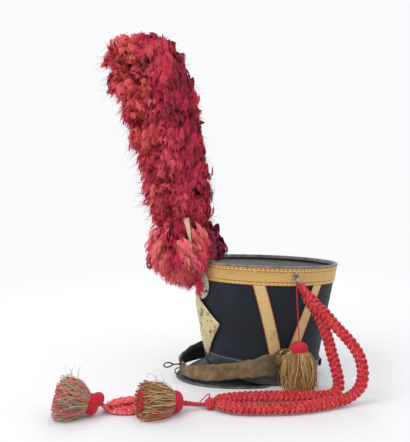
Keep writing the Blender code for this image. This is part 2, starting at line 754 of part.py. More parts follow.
def seat_on_crown(item, angle, height, out):
    """Turns a piece's Z axis outwards and stands it on the crown."""
    item.rotation_mode = "QUATERNION"
    item.rotation_quaternion = crown_direction(angle, height).to_track_quat("Z", "Y")
    item.location = crown_point(angle, height) + crown_direction(angle, height) * out


def build_rosettes(collection):
    """The ringed bosses over the strap's ends, and the button low on the back."""
    # Share of the radius and share of the dome's height
    shape = (
        (0.0, 0.0), (1.0, 0.0), (1.0, 0.22), (0.9, 0.42), (0.8, 0.3), (0.7, 0.5), (0.58, 0.38), (0.46, 0.56),
        (0.34, 0.86), (0.18, 0.98), (0.0, 1.0),
    )
    dome = 0.6 * ROSETTE_RADIUS
    profile = [(radius * ROSETTE_RADIUS, height * dome) for radius, height in shape]
    out = STRAP_SEAT + STRAP_THICKNESS + 2 * GAP
    for name, side in (("rosette_left", 1), ("rosette_right", -1)):
        item = add_turned(name, profile, 16, DARK_METAL, collection)
        seat_on_crown(item, side * ROSETTE_ANGLE, ROSETTE_CENTRE_HEIGHT, out)

    profile = (
        (0.0, 0.0), (BUTTON_RADIUS * 0.6, 0.0), (BUTTON_RADIUS * 0.6, BUTTON_THICKNESS * 0.25),
        (BUTTON_RADIUS, BUTTON_THICKNESS * 0.35), (BUTTON_RADIUS, BUTTON_THICKNESS * 0.7),
        (BUTTON_RADIUS * 0.7, BUTTON_THICKNESS), (0.0, BUTTON_THICKNESS),
    )
    item = add_turned("rear_button", profile, 14, BLACK_LEATHER, collection)
    seat_on_crown(item, BUTTON_ANGLE, BUTTON_HEIGHT, BAND_THICKNESS + 2 * GAP)


def grow_locks(bm, faces, lengths, fall, seed, tip=0.3):
    """Draws each face out into a tapered lock along its normal, its tip let down by `fall`."""
    chance = random.Random(seed)
    faces = [face for face in faces if lengths(face) > 0.0]
    reach = {tuple(face.calc_center_median()): lengths(face) for face in faces}
    centres = [face.calc_center_median() for face in faces]
    normals = [face.normal.copy() for face in faces]
    drawn = bmesh.ops.extrude_discrete_faces(bm, faces=faces)["faces"]
    for face, centre, normal in zip(drawn, centres, normals):
        length = reach[tuple(centre)] * chance.uniform(0.75, 1.1)
        drop = Vector((0.0, 0.0, -fall(centre) * chance.uniform(0.8, 1.1)))
        for vert in face.verts:
            vert.co = centre + (vert.co - centre) * tip + normal * length + drop


def ball_centre():
    """Middle of the feather ball, in front of the crown's upper edge."""
    return Vector((0.0, crown_point(0.0, HEIGHT).y - BALL_FORWARD, BALL_CENTRE_HEIGHT))


def build_plume(collection, cutters):
    """The feather ball, cut to sit on the rim and the cockade, the quill, and the tall plume."""
    centre = ball_centre()
    bm = bmesh.new()
    bmesh.ops.create_icosphere(bm, subdivisions=3, radius=1.0)
    size = Vector((BALL_RADIUS, BALL_RADIUS, BALL_HALF_HEIGHT))
    for vert in bm.verts:
        vert.co = centre + vert.co * size
    bm.normal_update()
    # No lock grows straight up, under the quill
    grow_locks(
        bm, list(bm.faces), lambda face: 0.0 if face.normal.z > 0.72 else BALL_LOCK,
        lambda place: 0.2 * BALL_LOCK, FEATHER_SEED,
    )
    ball = add_mesh("plume_ball", bm, FEATHER, collection, smooth=False)

    bm = bmesh.new()
    bmesh.ops.create_cone(
        bm, cap_ends=True, cap_tris=False, segments=RING_STEPS, radius1=1.0, radius2=1.0, depth=1.0,
    )
    out = cockade_outside() + 2 * GAP
    for vert in bm.verts:
        angle = math.atan2(vert.co.x, -vert.co.y)
        height = rim_height(0.0) + 2 * GAP if vert.co.z > 0 else HEIGHT / 3
        vert.co = crown_point(angle, height, out)
    cutter = add_mesh("crown_space", bm, FELT, cutters)
    cutter.hide_render = True
    cutter.display_type = "WIRE"
    cut = ball.modifiers.new("clear_of_crown", "BOOLEAN")
    cut.operation = "DIFFERENCE"
    cut.solver = "EXACT"
    cut.object = cutter

    stem_bottom = centre + Vector((0.0, 0.0, BALL_HALF_HEIGHT + GAP))
    stem_top = stem_bottom + Vector((0.0, 0.0, STEM_LENGTH))
    add_wire("plume_stem", (stem_bottom, stem_top), STEM_RADIUS, QUILL, collection)

    base = stem_top + Vector((0.0, 0.0, 2 * GAP))
    bm = bmesh.new()
    bmesh.ops.create_cone(
        bm, cap_ends=True, cap_tris=False, segments=PLUME_STEPS, radius1=1.0, radius2=1.0, depth=1.0,
    )
    upright = [edge for edge in bm.edges if abs(edge.verts[0].co.z - edge.verts[1].co.z) > 0.5]
    bmesh.ops.subdivide_edges(bm, edges=upright, cuts=PLUME_ROWS - 1, use_grid_fill=True)
    for vert in bm.verts:
        share = vert.co.z + 0.5
        radius = PLUME_RADIUS * read_row(PLUME_ROWS_TABLE, "height", "radius", share)
        rise = PLUME_HEIGHT * share
        vert.co = base + Vector((vert.co.x * radius, vert.co.y * radius - PLUME_LEAN * rise, rise))
    bm.normal_update()
    sides = [face for face in bm.faces if abs(face.normal.z) < 0.9]
    grow_locks(
        bm, sides, lambda face: PLUME_LOCK,
        lambda place: 0.9 * PLUME_LOCK * smooth_value((place.z - base.z) / (0.2 * PLUME_HEIGHT)), FEATHER_SEED + 1,
    )
    add_mesh("plume_upper", bm, FEATHER, collection, smooth=False)


def build_tassel(name, start, end, length, head_radius, fringe_radius, finish, collection):
    """A round head and a flared fringe in locks, one solid, from `start` along the line to `end`."""
    steps = 2 * TASSEL_LOCKS
    chance = random.Random(len(name))
    bm = bmesh.new()
    verts = [bm.verts.new((1.0, 0.0, float(index))) for index in range(len(TASSEL_ROWS))]
    edges = [bm.edges.new((first, second)) for first, second in zip(verts, verts[1:])]
    bmesh.ops.spin(
        bm, geom=edges, cent=(0, 0, 0), axis=(0, 0, 1), dvec=(0, 0, 0),
        angle=2 * math.pi, steps=steps, use_merge=True,
    )
    ends = [edge for edge in bm.edges if edge.is_boundary]
    bmesh.ops.contextual_create(bm, geom=[edge for edge in ends if edge.verts[0].co.z < 1])
    bmesh.ops.contextual_create(bm, geom=[edge for edge in ends if edge.verts[0].co.z > 1])
    ragged = [chance.uniform(0.93, 1.0) for _ in range(steps)]
    turn = (end - start).to_track_quat("Z", "Y")
    for vert in bm.verts:
        row = TASSEL_ROWS[round(vert.co.z)]
        column = round(math.atan2(vert.co.y, vert.co.x) / (2 * math.pi) * steps) % steps
        groove = 0.84 if column % 2 and row.fringe > 0.3 else 1.0
        radius = head_radius * row.head + fringe_radius * row.fringe * groove
        along = length * row.place * (ragged[column] if row.place == 1.0 else 1.0)
        place = Vector((vert.co.x * radius, vert.co.y * radius, along))
        vert.co = start + turn @ place
        vert.co.z = max(vert.co.z, GAP)
    face_outwards(bm)
    return add_mesh(name, bm, finish, collection)


def cord_hook_place():
    """Where the cord hook's boss stands: angle and height."""
    return CORD_HOOK_ANGLE, rim_height(CORD_HOOK_ANGLE) - CORD_HOOK_DROP


def build_cord_hook(collection):
    """A lobed boss on the top lace with a bent wire hook, one solid."""
    angle, height = cord_hook_place()
    steps = 16
    bm = bmesh.new()
    bmesh.ops.create_cone(
        bm, cap_ends=True, cap_tris=False, segments=steps, radius1=CORD_HOOK_RADIUS,
        radius2=CORD_HOOK_RADIUS, depth=CORD_HOOK_THICKNESS,
    )
    for vert in bm.verts:
        column = round(math.atan2(vert.co.y, vert.co.x) / (2 * math.pi) * steps)
        vert.co.xy *= 0.72 if column % 2 else 1.0
        vert.co.z += CORD_HOOK_THICKNESS / 2
    boss = add_mesh("cord_hook", bm, DARK_METAL, collection)
    out = 2 * GAP + LACE_THICKNESS
    seat_on_crown(boss, angle, height, out)
    bpy.context.view_layer.update()

    outward = crown_direction(angle, height)
    root = crown_point(angle, height) + outward * (out + CORD_HOOK_THICKNESS * 0.5)
    # Steps outwards and up from the boss's middle, as shares of the boss's radius
    bend = ((0.0, -0.35), (0.35, -0.9), (0.7, -1.35), (1.15, -1.45), (1.5, -1.2), (1.6, -0.75))
    points = [root]
    points += [
        root + outward * (out_share * CORD_HOOK_RADIUS + CORD_HOOK_THICKNESS / 2)
        + Vector((0.0, 0.0, up_share * CORD_HOOK_RADIUS))
        for out_share, up_share in bend
    ]
    wire = add_wire("hook_wire", points, CORD_HOOK_WIRE_RADIUS, DARK_METAL, collection)
    union_with(boss, mesh_of_wire(wire, collection))
    boss.data.materials.clear()
    boss.data.materials.append(material_of(DARK_METAL))


def build_cords(collection):
    """The braided cords from the hook to the floor, their thin starts and tails, knot, leaf and tassels."""
    angle, height = cord_hook_place()
    hook = crown_point(angle, height)
    side = Vector((hook.x + TASSEL_OUT, hook.y, TASSEL_CLEARANCE + TASSEL_LENGTH))
    build_tassel(
        "tassel_side", side, side - Vector((0.0, 0.0, 1.0)), TASSEL_LENGTH, TASSEL_HEAD_RADIUS,
        TASSEL_FRINGE_RADIUS - TASSEL_HEAD_RADIUS / 4, GOLD_FRINGE, collection,
    )
    beside = CORD_HOOK_WIRE_RADIUS + THREAD_RADIUS + GAP
    top = Vector((side.x - THREAD_RADIUS, side.y - beside, height - 1.45 * CORD_HOOK_RADIUS))
    low = Vector((top.x, side.y - THREAD_LEAN, top.z - THREAD_DROP))
    add_wire("tassel_cord", (top, low, side + Vector((0.0, 0.0, GAP))), THREAD_RADIUS, RED_CORD, collection)

    steps = 2
    add_wire("lead_inner", smooth_route(LEAD_INNER_ROUTE, steps), TWIST_RADIUS, RED_CORD, collection)
    add_wire("lead_outer", smooth_route(LEAD_OUTER_ROUTE, steps), TWIST_RADIUS, RED_CORD, collection)
    add_wire("braid_inner", smooth_route(BRAID_INNER_ROUTE, steps), BRAID_RADIUS, RED_CORD, collection)
    add_wire("braid_outer", smooth_route(BRAID_OUTER_ROUTE, steps), BRAID_RADIUS, RED_CORD, collection)
    add_wire("tail_middle", smooth_route(TAIL_MIDDLE_ROUTE, steps), TWIST_RADIUS, RED_CORD, collection)
    add_wire("tail_end", smooth_route(TAIL_END_ROUTE, steps), TWIST_RADIUS, RED_CORD, collection)

    bm = bmesh.new()
    bmesh.ops.create_icosphere(bm, subdivisions=2, radius=1.0)
    for vert in bm.verts:
        vert.co = KNOT_CENTRE + vert.co * Vector((KNOT_RADIUS, KNOT_RADIUS, KNOT_CENTRE.z - GAP))
    add_mesh("cord_knot", bm, RED_CORD, collection)

    # The flat leaf is a round cage drawn out to a point, which rises to the tassel's head
    bm = bmesh.new()
    bmesh.ops.create_uvsphere(bm, u_segments=20, v_segments=6, radius=1.0)
    turn = Matrix.Rotation(RAQUETTE_DIRECTION, 3, "Z")
    along = (END_TASSEL_END - END_TASSEL_START).normalized()
    tip = END_TASSEL_START - 2 * GAP * along - RAQUETTE_CENTRE
    for vert in bm.verts:
        share = max(0.0, vert.co.x)
        point = 1.0 - 0.5 * share**2
        place = turn @ Vector((
            vert.co.x * RAQUETTE_HALF_LENGTH, vert.co.y * RAQUETTE_HALF_WIDTH * point,
            vert.co.z * RAQUETTE_THICKNESS / 2,
        ))
        to_tip = tip - turn @ Vector((RAQUETTE_HALF_LENGTH, 0.0, 0.0))
        place += to_tip * smooth_value((share - RAQUETTE_RISE) / (1.0 - RAQUETTE_RISE))
        vert.co = RAQUETTE_CENTRE + place
        vert.co.z = max(vert.co.z, GAP)
    add_mesh("raquette", bm, RED_CORD, collection)

    build_tassel(
        "tassel_middle", MIDDLE_TASSEL_START, MIDDLE_TASSEL_END, MIDDLE_TASSEL_LENGTH, LYING_HEAD_RADIUS,
        MIDDLE_FRINGE_RADIUS, GOLD_FRINGE, collection,
    )
    build_tassel(
        "tassel_end", END_TASSEL_START, END_TASSEL_END, END_TASSEL_LENGTH, LYING_HEAD_RADIUS,
        END_FRINGE_RADIUS, GOLD_FRINGE, collection,
    )


def main():
    """Builds the hat."""
    clear_scene()
    hat = make_collection("shako_hat")
    cutters = make_collection("cutters")
    build_crown(hat)
    build_top(hat)
    build_bands(hat)
    for name, side in (("chevron_left", 1), ("chevron_right", -1)):
        build_chevron(name, side, hat)
    build_peak(hat)
    build_front_plate(hat)
    build_cockade(hat)
    build_chin_strap("chin_strap_left", LEFT_STRAP, 1, hat)
    build_chin_strap("chin_strap_right", RIGHT_STRAP, -1, hat)
    build_strap_tie(hat)
    build_rosettes(hat)
    build_plume(hat, cutters)
    build_cord_hook(hat)
    build_cords(hat)


if __name__ == "__main__":
    main()
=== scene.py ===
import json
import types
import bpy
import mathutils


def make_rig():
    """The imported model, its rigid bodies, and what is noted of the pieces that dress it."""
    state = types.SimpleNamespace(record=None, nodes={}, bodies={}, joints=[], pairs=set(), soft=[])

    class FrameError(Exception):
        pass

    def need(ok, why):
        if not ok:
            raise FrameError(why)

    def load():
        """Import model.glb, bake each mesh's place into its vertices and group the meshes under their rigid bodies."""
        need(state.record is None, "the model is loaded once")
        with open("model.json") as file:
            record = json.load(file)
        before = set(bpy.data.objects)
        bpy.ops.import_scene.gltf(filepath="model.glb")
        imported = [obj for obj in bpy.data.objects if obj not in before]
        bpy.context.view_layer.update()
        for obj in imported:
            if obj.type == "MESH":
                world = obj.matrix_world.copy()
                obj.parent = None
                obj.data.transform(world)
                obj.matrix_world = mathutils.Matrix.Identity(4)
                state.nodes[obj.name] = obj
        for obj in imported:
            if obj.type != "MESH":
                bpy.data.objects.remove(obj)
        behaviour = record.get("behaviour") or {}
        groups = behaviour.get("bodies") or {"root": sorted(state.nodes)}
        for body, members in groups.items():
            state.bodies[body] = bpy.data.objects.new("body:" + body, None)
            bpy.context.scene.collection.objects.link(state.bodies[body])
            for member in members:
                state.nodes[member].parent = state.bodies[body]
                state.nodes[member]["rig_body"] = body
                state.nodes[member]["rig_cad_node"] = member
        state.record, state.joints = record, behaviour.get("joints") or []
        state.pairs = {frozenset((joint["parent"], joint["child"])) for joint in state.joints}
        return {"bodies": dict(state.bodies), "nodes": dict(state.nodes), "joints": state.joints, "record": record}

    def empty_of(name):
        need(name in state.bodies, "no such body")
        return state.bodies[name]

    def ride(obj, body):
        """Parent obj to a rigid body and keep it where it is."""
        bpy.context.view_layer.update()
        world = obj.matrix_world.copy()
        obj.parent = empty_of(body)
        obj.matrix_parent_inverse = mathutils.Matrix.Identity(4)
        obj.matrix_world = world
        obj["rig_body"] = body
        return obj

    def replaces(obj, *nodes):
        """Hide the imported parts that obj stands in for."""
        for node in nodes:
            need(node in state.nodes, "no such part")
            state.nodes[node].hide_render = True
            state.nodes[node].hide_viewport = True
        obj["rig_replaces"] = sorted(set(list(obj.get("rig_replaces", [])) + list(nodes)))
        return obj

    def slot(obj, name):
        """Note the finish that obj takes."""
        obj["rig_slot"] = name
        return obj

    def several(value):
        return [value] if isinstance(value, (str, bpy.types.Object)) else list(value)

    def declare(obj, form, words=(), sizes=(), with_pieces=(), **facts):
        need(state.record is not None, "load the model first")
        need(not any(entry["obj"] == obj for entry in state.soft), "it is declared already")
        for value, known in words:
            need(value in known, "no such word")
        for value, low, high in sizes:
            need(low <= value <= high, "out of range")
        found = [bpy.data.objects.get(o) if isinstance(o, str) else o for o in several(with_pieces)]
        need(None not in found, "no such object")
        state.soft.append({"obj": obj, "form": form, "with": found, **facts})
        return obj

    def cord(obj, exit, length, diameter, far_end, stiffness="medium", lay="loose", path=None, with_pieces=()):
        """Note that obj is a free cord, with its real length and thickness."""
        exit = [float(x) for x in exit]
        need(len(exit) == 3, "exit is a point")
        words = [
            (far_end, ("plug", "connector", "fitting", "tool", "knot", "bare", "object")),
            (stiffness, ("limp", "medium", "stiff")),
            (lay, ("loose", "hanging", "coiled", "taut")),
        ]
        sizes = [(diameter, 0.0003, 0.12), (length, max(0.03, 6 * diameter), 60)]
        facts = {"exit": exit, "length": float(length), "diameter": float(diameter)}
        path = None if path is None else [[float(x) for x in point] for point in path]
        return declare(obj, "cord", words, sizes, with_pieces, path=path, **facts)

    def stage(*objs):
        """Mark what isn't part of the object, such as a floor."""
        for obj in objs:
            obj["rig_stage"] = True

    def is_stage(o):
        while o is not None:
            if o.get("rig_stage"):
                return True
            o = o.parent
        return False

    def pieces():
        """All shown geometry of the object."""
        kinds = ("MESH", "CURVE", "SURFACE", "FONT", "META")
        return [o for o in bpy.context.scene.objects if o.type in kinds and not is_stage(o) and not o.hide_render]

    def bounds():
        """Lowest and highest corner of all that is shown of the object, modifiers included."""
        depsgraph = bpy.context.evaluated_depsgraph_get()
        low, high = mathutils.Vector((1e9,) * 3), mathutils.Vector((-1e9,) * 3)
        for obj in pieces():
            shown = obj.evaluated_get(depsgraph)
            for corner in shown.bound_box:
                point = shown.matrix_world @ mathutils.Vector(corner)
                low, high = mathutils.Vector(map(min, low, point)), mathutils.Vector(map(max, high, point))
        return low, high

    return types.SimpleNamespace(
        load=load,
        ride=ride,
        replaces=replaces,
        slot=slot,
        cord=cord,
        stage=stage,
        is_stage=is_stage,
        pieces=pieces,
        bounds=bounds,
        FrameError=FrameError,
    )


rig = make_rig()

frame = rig.load()

# A shako hat with a feather plume, braided cords and tassels. Lengths are in metres, +Z is up, the front
# is -Y and the wearer's left is +X. Angles run round the hat from the front towards the wearer's left.

import json
import logging
import random
from dataclasses import dataclass, field
from enum import Enum
from functools import cached_property
from math import atan2, cos, exp, hypot, pi, radians, sin, sqrt, tau
from typing import Callable, Optional, Sequence

import bmesh
import bpy
import numpy as np
from bmesh.types import BMesh, BMVert
from bpy.types import Material, Node, NodeSocket, Object
from mathutils import Matrix, Vector, noise

LOG = logging.getLogger("shako")
GAP = 0.0003
UP = Vector((0.0, 0.0, 1.0))
LEFT_FRONT = Vector((0.94, -0.33, 0.0))
GOLDEN_TURN = 2.399963
EIGHTHS = [step / 8 for step in range(9)]
BODY = "root"
SIZES = {"cad": [list(corner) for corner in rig.bounds()]}

Place = Callable[[float, float], Vector]
Curve = Callable[[float], float]


class Slot(Enum):
    """The record's material slots."""

    FELT = "felt"
    BLACK_LEATHER = "black_leather"
    BROWN_LEATHER = "brown_leather"
    GOLD_LACE = "gold_lace"
    GOLD_FRINGE = "gold_fringe"
    PLATE_BRASS = "plate_brass"
    DARK_METAL = "dark_metal"
    COCKADE_CLOTH = "cockade_cloth"
    FEATHER = "feather"
    QUILL = "quill"
    RED_CORD = "red_cord"


class Side(Enum):
    """A side of the hat, as the wearer has it."""

    LEFT = 1
    RIGHT = -1


def ease(share: float) -> float:
    """Eases a value from 0 to 1."""
    share = min(max(share, 0.0), 1.0)
    return share * share * (3 - 2 * share)


def read_curve(rows: Sequence[tuple[float, ...]], column: int, value: float) -> float:
    """Reads a column of a table at a value of its first column, on a smooth curve.

    Args:
        rows: The table, sorted by its first column.
        column: The column that is read.
        value: The place in the first column.

    Returns:
        The value there.
    """
    value = min(max(value, rows[0][0]), rows[-1][0])
    last = max(index for index in range(len(rows) - 1) if rows[index][0] <= value)
    low, high = rows[last], rows[last + 1]
    return low[column] + (high[column] - low[column]) * ease((value - low[0]) / (high[0] - low[0]))


def linear(code: str) -> tuple[float, float, float, float]:
    """Turns a screen colour such as c9a35f into the renderer's own."""
    parts = [int(code[index:index + 2], 16) / 255 for index in (0, 2, 4)]
    return (*[part / 12.92 if part <= 0.04045 else ((part + 0.055) / 1.055) ** 2.4 for part in parts], 1.0)


class Sheet:
    """A material's node tree, with short calls that add to it."""

    def __init__(self, name: str) -> None:
        """Starts a material with its shader."""
        self.material = bpy.data.materials.new(name)
        self.material.use_nodes = True
        self.tree = self.material.node_tree
        self.shader = self.tree.nodes["Principled BSDF"]

    def feed(self, socket: NodeSocket, value: object) -> None:
        """Links a socket to another one, or sets it to a value or a screen colour."""
        if isinstance(value, NodeSocket):
            self.tree.links.new(value, socket)
        else:
            socket.default_value = linear(value) if isinstance(value, str) else value

    def add(self, kind: str, settings: Optional[dict] = None, **sockets: object) -> Node:
        """Adds a node.

        Args:
            kind: The node's type without its ShaderNode prefix.
            settings: Values of the node's own fields.
            **sockets: What feeds its inputs: i0 and so on by number, others by name with _ for a space.

        Returns:
            The node.
        """
        node = self.tree.nodes.new("ShaderNode" + kind)
        for key, value in (settings or {}).items():
            setattr(node, key, value)
        for key, value in sockets.items():
            self.feed(node.inputs[int(key[1:]) if key[1:].isdigit() else key.replace("_", " ")], value)
        return node

    @cached_property
    def place(self) -> NodeSocket:
        """The Object coordinates."""
        return self.add("TexCoord").outputs["Object"]

    @cached_property
    def cloth(self) -> NodeSocket:
        """The piece's own UV map."""
        return self.add("UVMap", {"uv_map": "UVMap"}).outputs[0]

    @cached_property
    def axes(self) -> tuple[NodeSocket, NodeSocket]:
        """U and V of the UV map."""
        return tuple(self.add("SeparateXYZ", None, Vector=self.cloth).outputs[:2])

    @cached_property
    def tint(self) -> NodeSocket:
        """The tint stored on the piece's points."""
        return self.add("Attribute", {"attribute_name": "tint"}).outputs["Fac"]

    def math(self, operation: str, first: object, second: object = 0.0) -> NodeSocket:
        """Adds a Math node and returns its result."""
        return self.add("Math", {"operation": operation}, i0=first, i1=second).outputs[0]

    def times(self, first: object, second: object) -> NodeSocket:
        """Multiplies two values."""
        return self.math("MULTIPLY", first, second)

    def minus(self, first: object, second: object) -> NodeSocket:
        """Subtracts the second value from the first."""
        return self.math("SUBTRACT", first, second)

    def scaled(self, value: object, factor: float, base: object) -> NodeSocket:
        """Multiplies a value and adds another."""
        return self.add("Math", {"operation": "MULTIPLY_ADD"}, i0=value, i1=factor, i2=base).outputs[0]

    def noise(self, scale: float, detail: float, rough: float = 0.55, vector: object = None) -> NodeSocket:
        """Adds a noise over the Object coordinates, or over a given vector."""
        vector = vector or self.place
        made = self.add("TexNoise", None, Vector=vector, Scale=scale, Detail=detail, Roughness=rough)
        return made.outputs["Fac"]

    def stripes(self, vector: object, counts: Sequence[float]) -> NodeSocket:
        """Returns a triangle wave from 0 to 1, so many to each unit of the vector's X, Y and Z."""
        dot = self.add(
            "VectorMath", {"operation": "DOT_PRODUCT"}, i0=vector, i1=tuple(counts)).outputs["Value"]
        return self.times(self.math("PINGPONG", dot, 0.5), 2.0)

    def between(self, value: object, low: float, high: float) -> NodeSocket:
        """Maps a stretch of a value to 0 to 1, clamped."""
        settings = {"clamp": True, "interpolation_type": "SMOOTHSTEP"}
        return self.add("MapRange", settings, Value=value, From_Min=low, From_Max=high).outputs[0]

    def blend(self, share: object, first: object, second: object) -> NodeSocket:
        """Mixes two colours; each is a socket or a screen colour."""
        return self.add("Mix", {"data_type": "RGBA"}, i0=share, i6=first, i7=second).outputs[2]

    def over(self, colour: object, other: object, share: object, strength: float) -> NodeSocket:
        """Lays another colour over one, by a share and a strength."""
        return self.blend(self.times(share, strength), colour, other)

    def relief(
        self, height: object, distance: float, strength: float = 1.0, below: object = None,
    ) -> NodeSocket:
        """Adds a bump of so many metres and returns its normal."""
        more = {"Normal": below} if below else {}
        return self.add("Bump", None, Height=height, Distance=distance, Strength=strength, **more).outputs[0]

    def finish(self, colour: object, rough: object, normal: object = None, **constants: object) -> Material:
        """Joins the results to the shader.

        Args:
            colour: The base colour.
            rough: The roughness, a socket or a number.
            normal: The bumped normal.
            **constants: Values that are the same all over, by the shader's socket names.

        Returns:
            The material.
        """
        for name, value in {"Base Color": colour, "Roughness": rough, "Normal": normal, **constants}.items():
            if value is not None:
                self.feed(self.shader.inputs[name.replace("_", " ")], value)
        return self.material


@dataclass(frozen=True)
class Finish:
    """A finish, made into a material on its first use."""

    name: str

    def material(self) -> Material:
        """Returns the finish's material."""
        return bpy.data.materials.get(self.name) or self.paint(Sheet(self.name))

    def paint(self, sheet: Sheet) -> Material:
        """Fills in the node tree."""
        raise NotImplementedError


@dataclass(frozen=True)
class Felt(Finish):
    """Black felt with a short nap and a little dust."""

    dark: str = "04070f"
    light: str = "111a2a"
    dust: str = "1a2537"
    slot: Slot = Slot.FELT

    def paint(self, sheet: Sheet) -> Material:
        """Fills in the node tree."""
        broad, nap = sheet.noise(14.0, 3.0), sheet.noise(900.0, 2.0, 0.7)
        colour = sheet.blend(sheet.between(broad, 0.3, 0.75), self.dark, self.light)
        colour = sheet.blend(sheet.between(nap, 0.35, 1.0), colour, self.dust)
        normal = sheet.relief(nap, 0.0004, 0.6, sheet.relief(broad, 0.002, 0.4))
        return sheet.finish(colour, 0.92, normal, Sheen_Weight=0.08)


@dataclass(frozen=True)
class Leather(Finish):
    """Grained leather, lighter in places: rubbing, and on the top and the rim painted highlight."""

    dark: str
    light: str
    rough: float = 0.38
    grain: float = 700.0
    streaks: tuple[float, float, float] = (30.0, 30.0, 30.0)
    share: float = 0.5
    slot: Slot = Slot.BLACK_LEATHER

    def paint(self, sheet: Sheet) -> Material:
        """Fills in the node tree."""
        cells = sheet.add("TexVoronoi", {"feature": "DISTANCE_TO_EDGE"}, Vector=sheet.place, Scale=self.grain)
        creases = sheet.between(cells.outputs[0], 0.0, 0.25)
        drawn = sheet.add("Mapping", None, Vector=sheet.place, Scale=self.streaks).outputs[0]
        # The lighter places are rubbing, and on the top and the rim they are also painted highlight.
        rub_and_highlight = sheet.between(sheet.noise(1.0, 6.0, 0.65, drawn), self.share - 0.18, self.share + 0.2)
        colour = sheet.blend(rub_and_highlight, self.dark, self.light)
        colour = sheet.over(colour, self.dark, sheet.minus(1.0, creases), 0.35)
        rough = sheet.scaled(rub_and_highlight, 0.18, self.rough)
        normal = sheet.relief(creases, 0.00012, 0.7, sheet.relief(rub_and_highlight, 0.0006, 0.5))
        return sheet.finish(colour, rough, normal, Coat_Weight=0.12, Coat_Roughness=0.3)


@dataclass(frozen=True)
class ShadedStrap(Finish):
    """Taupe strap leather, mottled, dark towards its lower edge and painted darker as shade towards its end; U runs
    along the strap, V up.
    """

    slot: Slot = Slot.BROWN_LEATHER

    def paint(self, sheet: Sheet) -> Material:
        """Fills in the node tree."""
        broad, fine = sheet.noise(55.0, 5.0, 0.6), sheet.noise(420.0, 3.0, 0.7)
        along, up = sheet.axes
        colour = sheet.blend(sheet.between(broad, 0.32, 0.68), "5c4a34", "8a7452")
        colour = sheet.over(colour, "947f5c", sheet.between(fine, 0.45, 0.75), 0.6)
        colour = sheet.over(colour, "6b4a33", sheet.between(sheet.noise(30.0, 4.0), 0.5, 0.72), 0.6)
        high = sheet.times(sheet.between(up, 0.95, 1.0), 0.5)
        colour = sheet.over(colour, "211d1b", sheet.math("MAXIMUM", sheet.between(up, 0.16, 0.02), high), 0.8)
        # Painted shade: the strap darkens towards its end under the rosette.
        colour = sheet.over(colour, "33302e", sheet.between(along, 0.62, 1.0), 0.75)
        return sheet.finish(colour, 0.72, sheet.relief(fine, 0.0003, 0.7, sheet.relief(broad, 0.001, 0.6)))


@dataclass(frozen=True)
class Lace(Finish):
    """Woven metal lace; U runs along it, V across, with lines along both borders."""

    along: float
    across: float
    border: float
    gold: str
    dark: str
    line: str
    edge: str
    stitches: float = 0.0
    seam: float = -1.0
    slot: Slot = Slot.GOLD_LACE

    def paint(self, sheet: Sheet) -> Material:
        """Fills in the node tree."""
        along, across = sheet.axes
        first, second, cords = (sheet.stripes(sheet.cloth, counts) for counts in (
            (self.along, self.across, 0.0), (self.along, -self.across, 0.0), (self.along * 0.7, 0.0, 0.0)))
        weave = sheet.math("MAXIMUM", sheet.between(first, 0.35, 0.9), sheet.times(second, 0.4))
        inside = sheet.math("PINGPONG", across, 0.5)
        middle = sheet.between(inside, self.border, self.border + 0.02)
        outer = sheet.minus(1.0, middle)
        weave = sheet.math("ADD", sheet.times(weave, middle), sheet.times(cords, outer))
        colour = sheet.blend(sheet.times(weave, 0.75), self.gold, self.dark)
        colour = sheet.over(colour, self.edge, outer, 0.55)
        away = sheet.math("ABSOLUTE", sheet.minus(inside, self.border))
        colour = sheet.blend(sheet.between(away, 0.035, 0.01), colour, self.line)
        colour = sheet.over(colour, self.line, sheet.between(inside, 0.035, 0.01), 0.7)
        colour = sheet.over(colour, "7e6038", sheet.between(sheet.noise(38.0, 5.0, 0.65), 0.52, 0.75), 0.4)
        colour = sheet.over(colour, "e6c987", sheet.between(sheet.noise(120.0, 3.0), 0.55, 0.8), 0.45)
        if self.stitches:
            row = sheet.between(sheet.math("ABSOLUTE", sheet.minus(across, 0.93)), 0.035, 0.015)
            dash = sheet.between(sheet.stripes(sheet.cloth, (self.stitches, 0.0, 0.0)), 0.35, 0.5)
            colour = sheet.over(colour, "5f3f26", sheet.times(row, dash), 0.8)
        if self.seam > 0:
            near = sheet.between(sheet.math("ABSOLUTE", sheet.minus(along, self.seam)), 0.0016, 0.0004)
            colour = sheet.over(colour, "7a5426", near, 0.5)
        normal = sheet.relief(sheet.minus(1.0, weave), 0.0003, 0.8)
        return sheet.finish(colour, 0.55, normal, Metallic=0.15, Sheen_Weight=0.1)


@dataclass(frozen=True)
class Piping(Finish):
    """A thin cloth edging in one colour with a fine twist."""

    colour: str = "4a0f0c"
    light: str = "7a2a1c"
    slot: Slot = Slot.GOLD_LACE

    def paint(self, sheet: Sheet) -> Material:
        """Fills in the node tree."""
        grain = sheet.noise(1200.0, 2.0)
        colour = sheet.blend(sheet.between(grain, 0.4, 0.8), self.colour, self.light)
        return sheet.finish(colour, 0.8, sheet.relief(grain, 0.0003))


@dataclass(frozen=True)
class Metal(Finish):
    """Metal with tarnish in patches."""

    bright: str
    stain: str
    rough: float
    metallic: float
    patches: float
    share: float
    slot: Slot = Slot.DARK_METAL

    def paint(self, sheet: Sheet) -> Material:
        """Fills in the node tree."""
        broad, fine = sheet.noise(self.patches, 6.0, 0.7), sheet.noise(350.0, 4.0, 0.7)
        spots = sheet.between(sheet.scaled(fine, 0.35, broad), self.share + 0.14, self.share + 0.26)
        colour = sheet.blend(spots, self.bright, self.stain)
        colour = sheet.over(colour, self.stain, sheet.between(fine, 0.4, 0.8), 0.25)
        rough = sheet.scaled(spots, 0.3, self.rough)
        normal = sheet.relief(fine, 0.0002, 0.5, sheet.relief(broad, 0.001, 0.5))
        return sheet.finish(colour, rough, normal, Metallic=self.metallic)


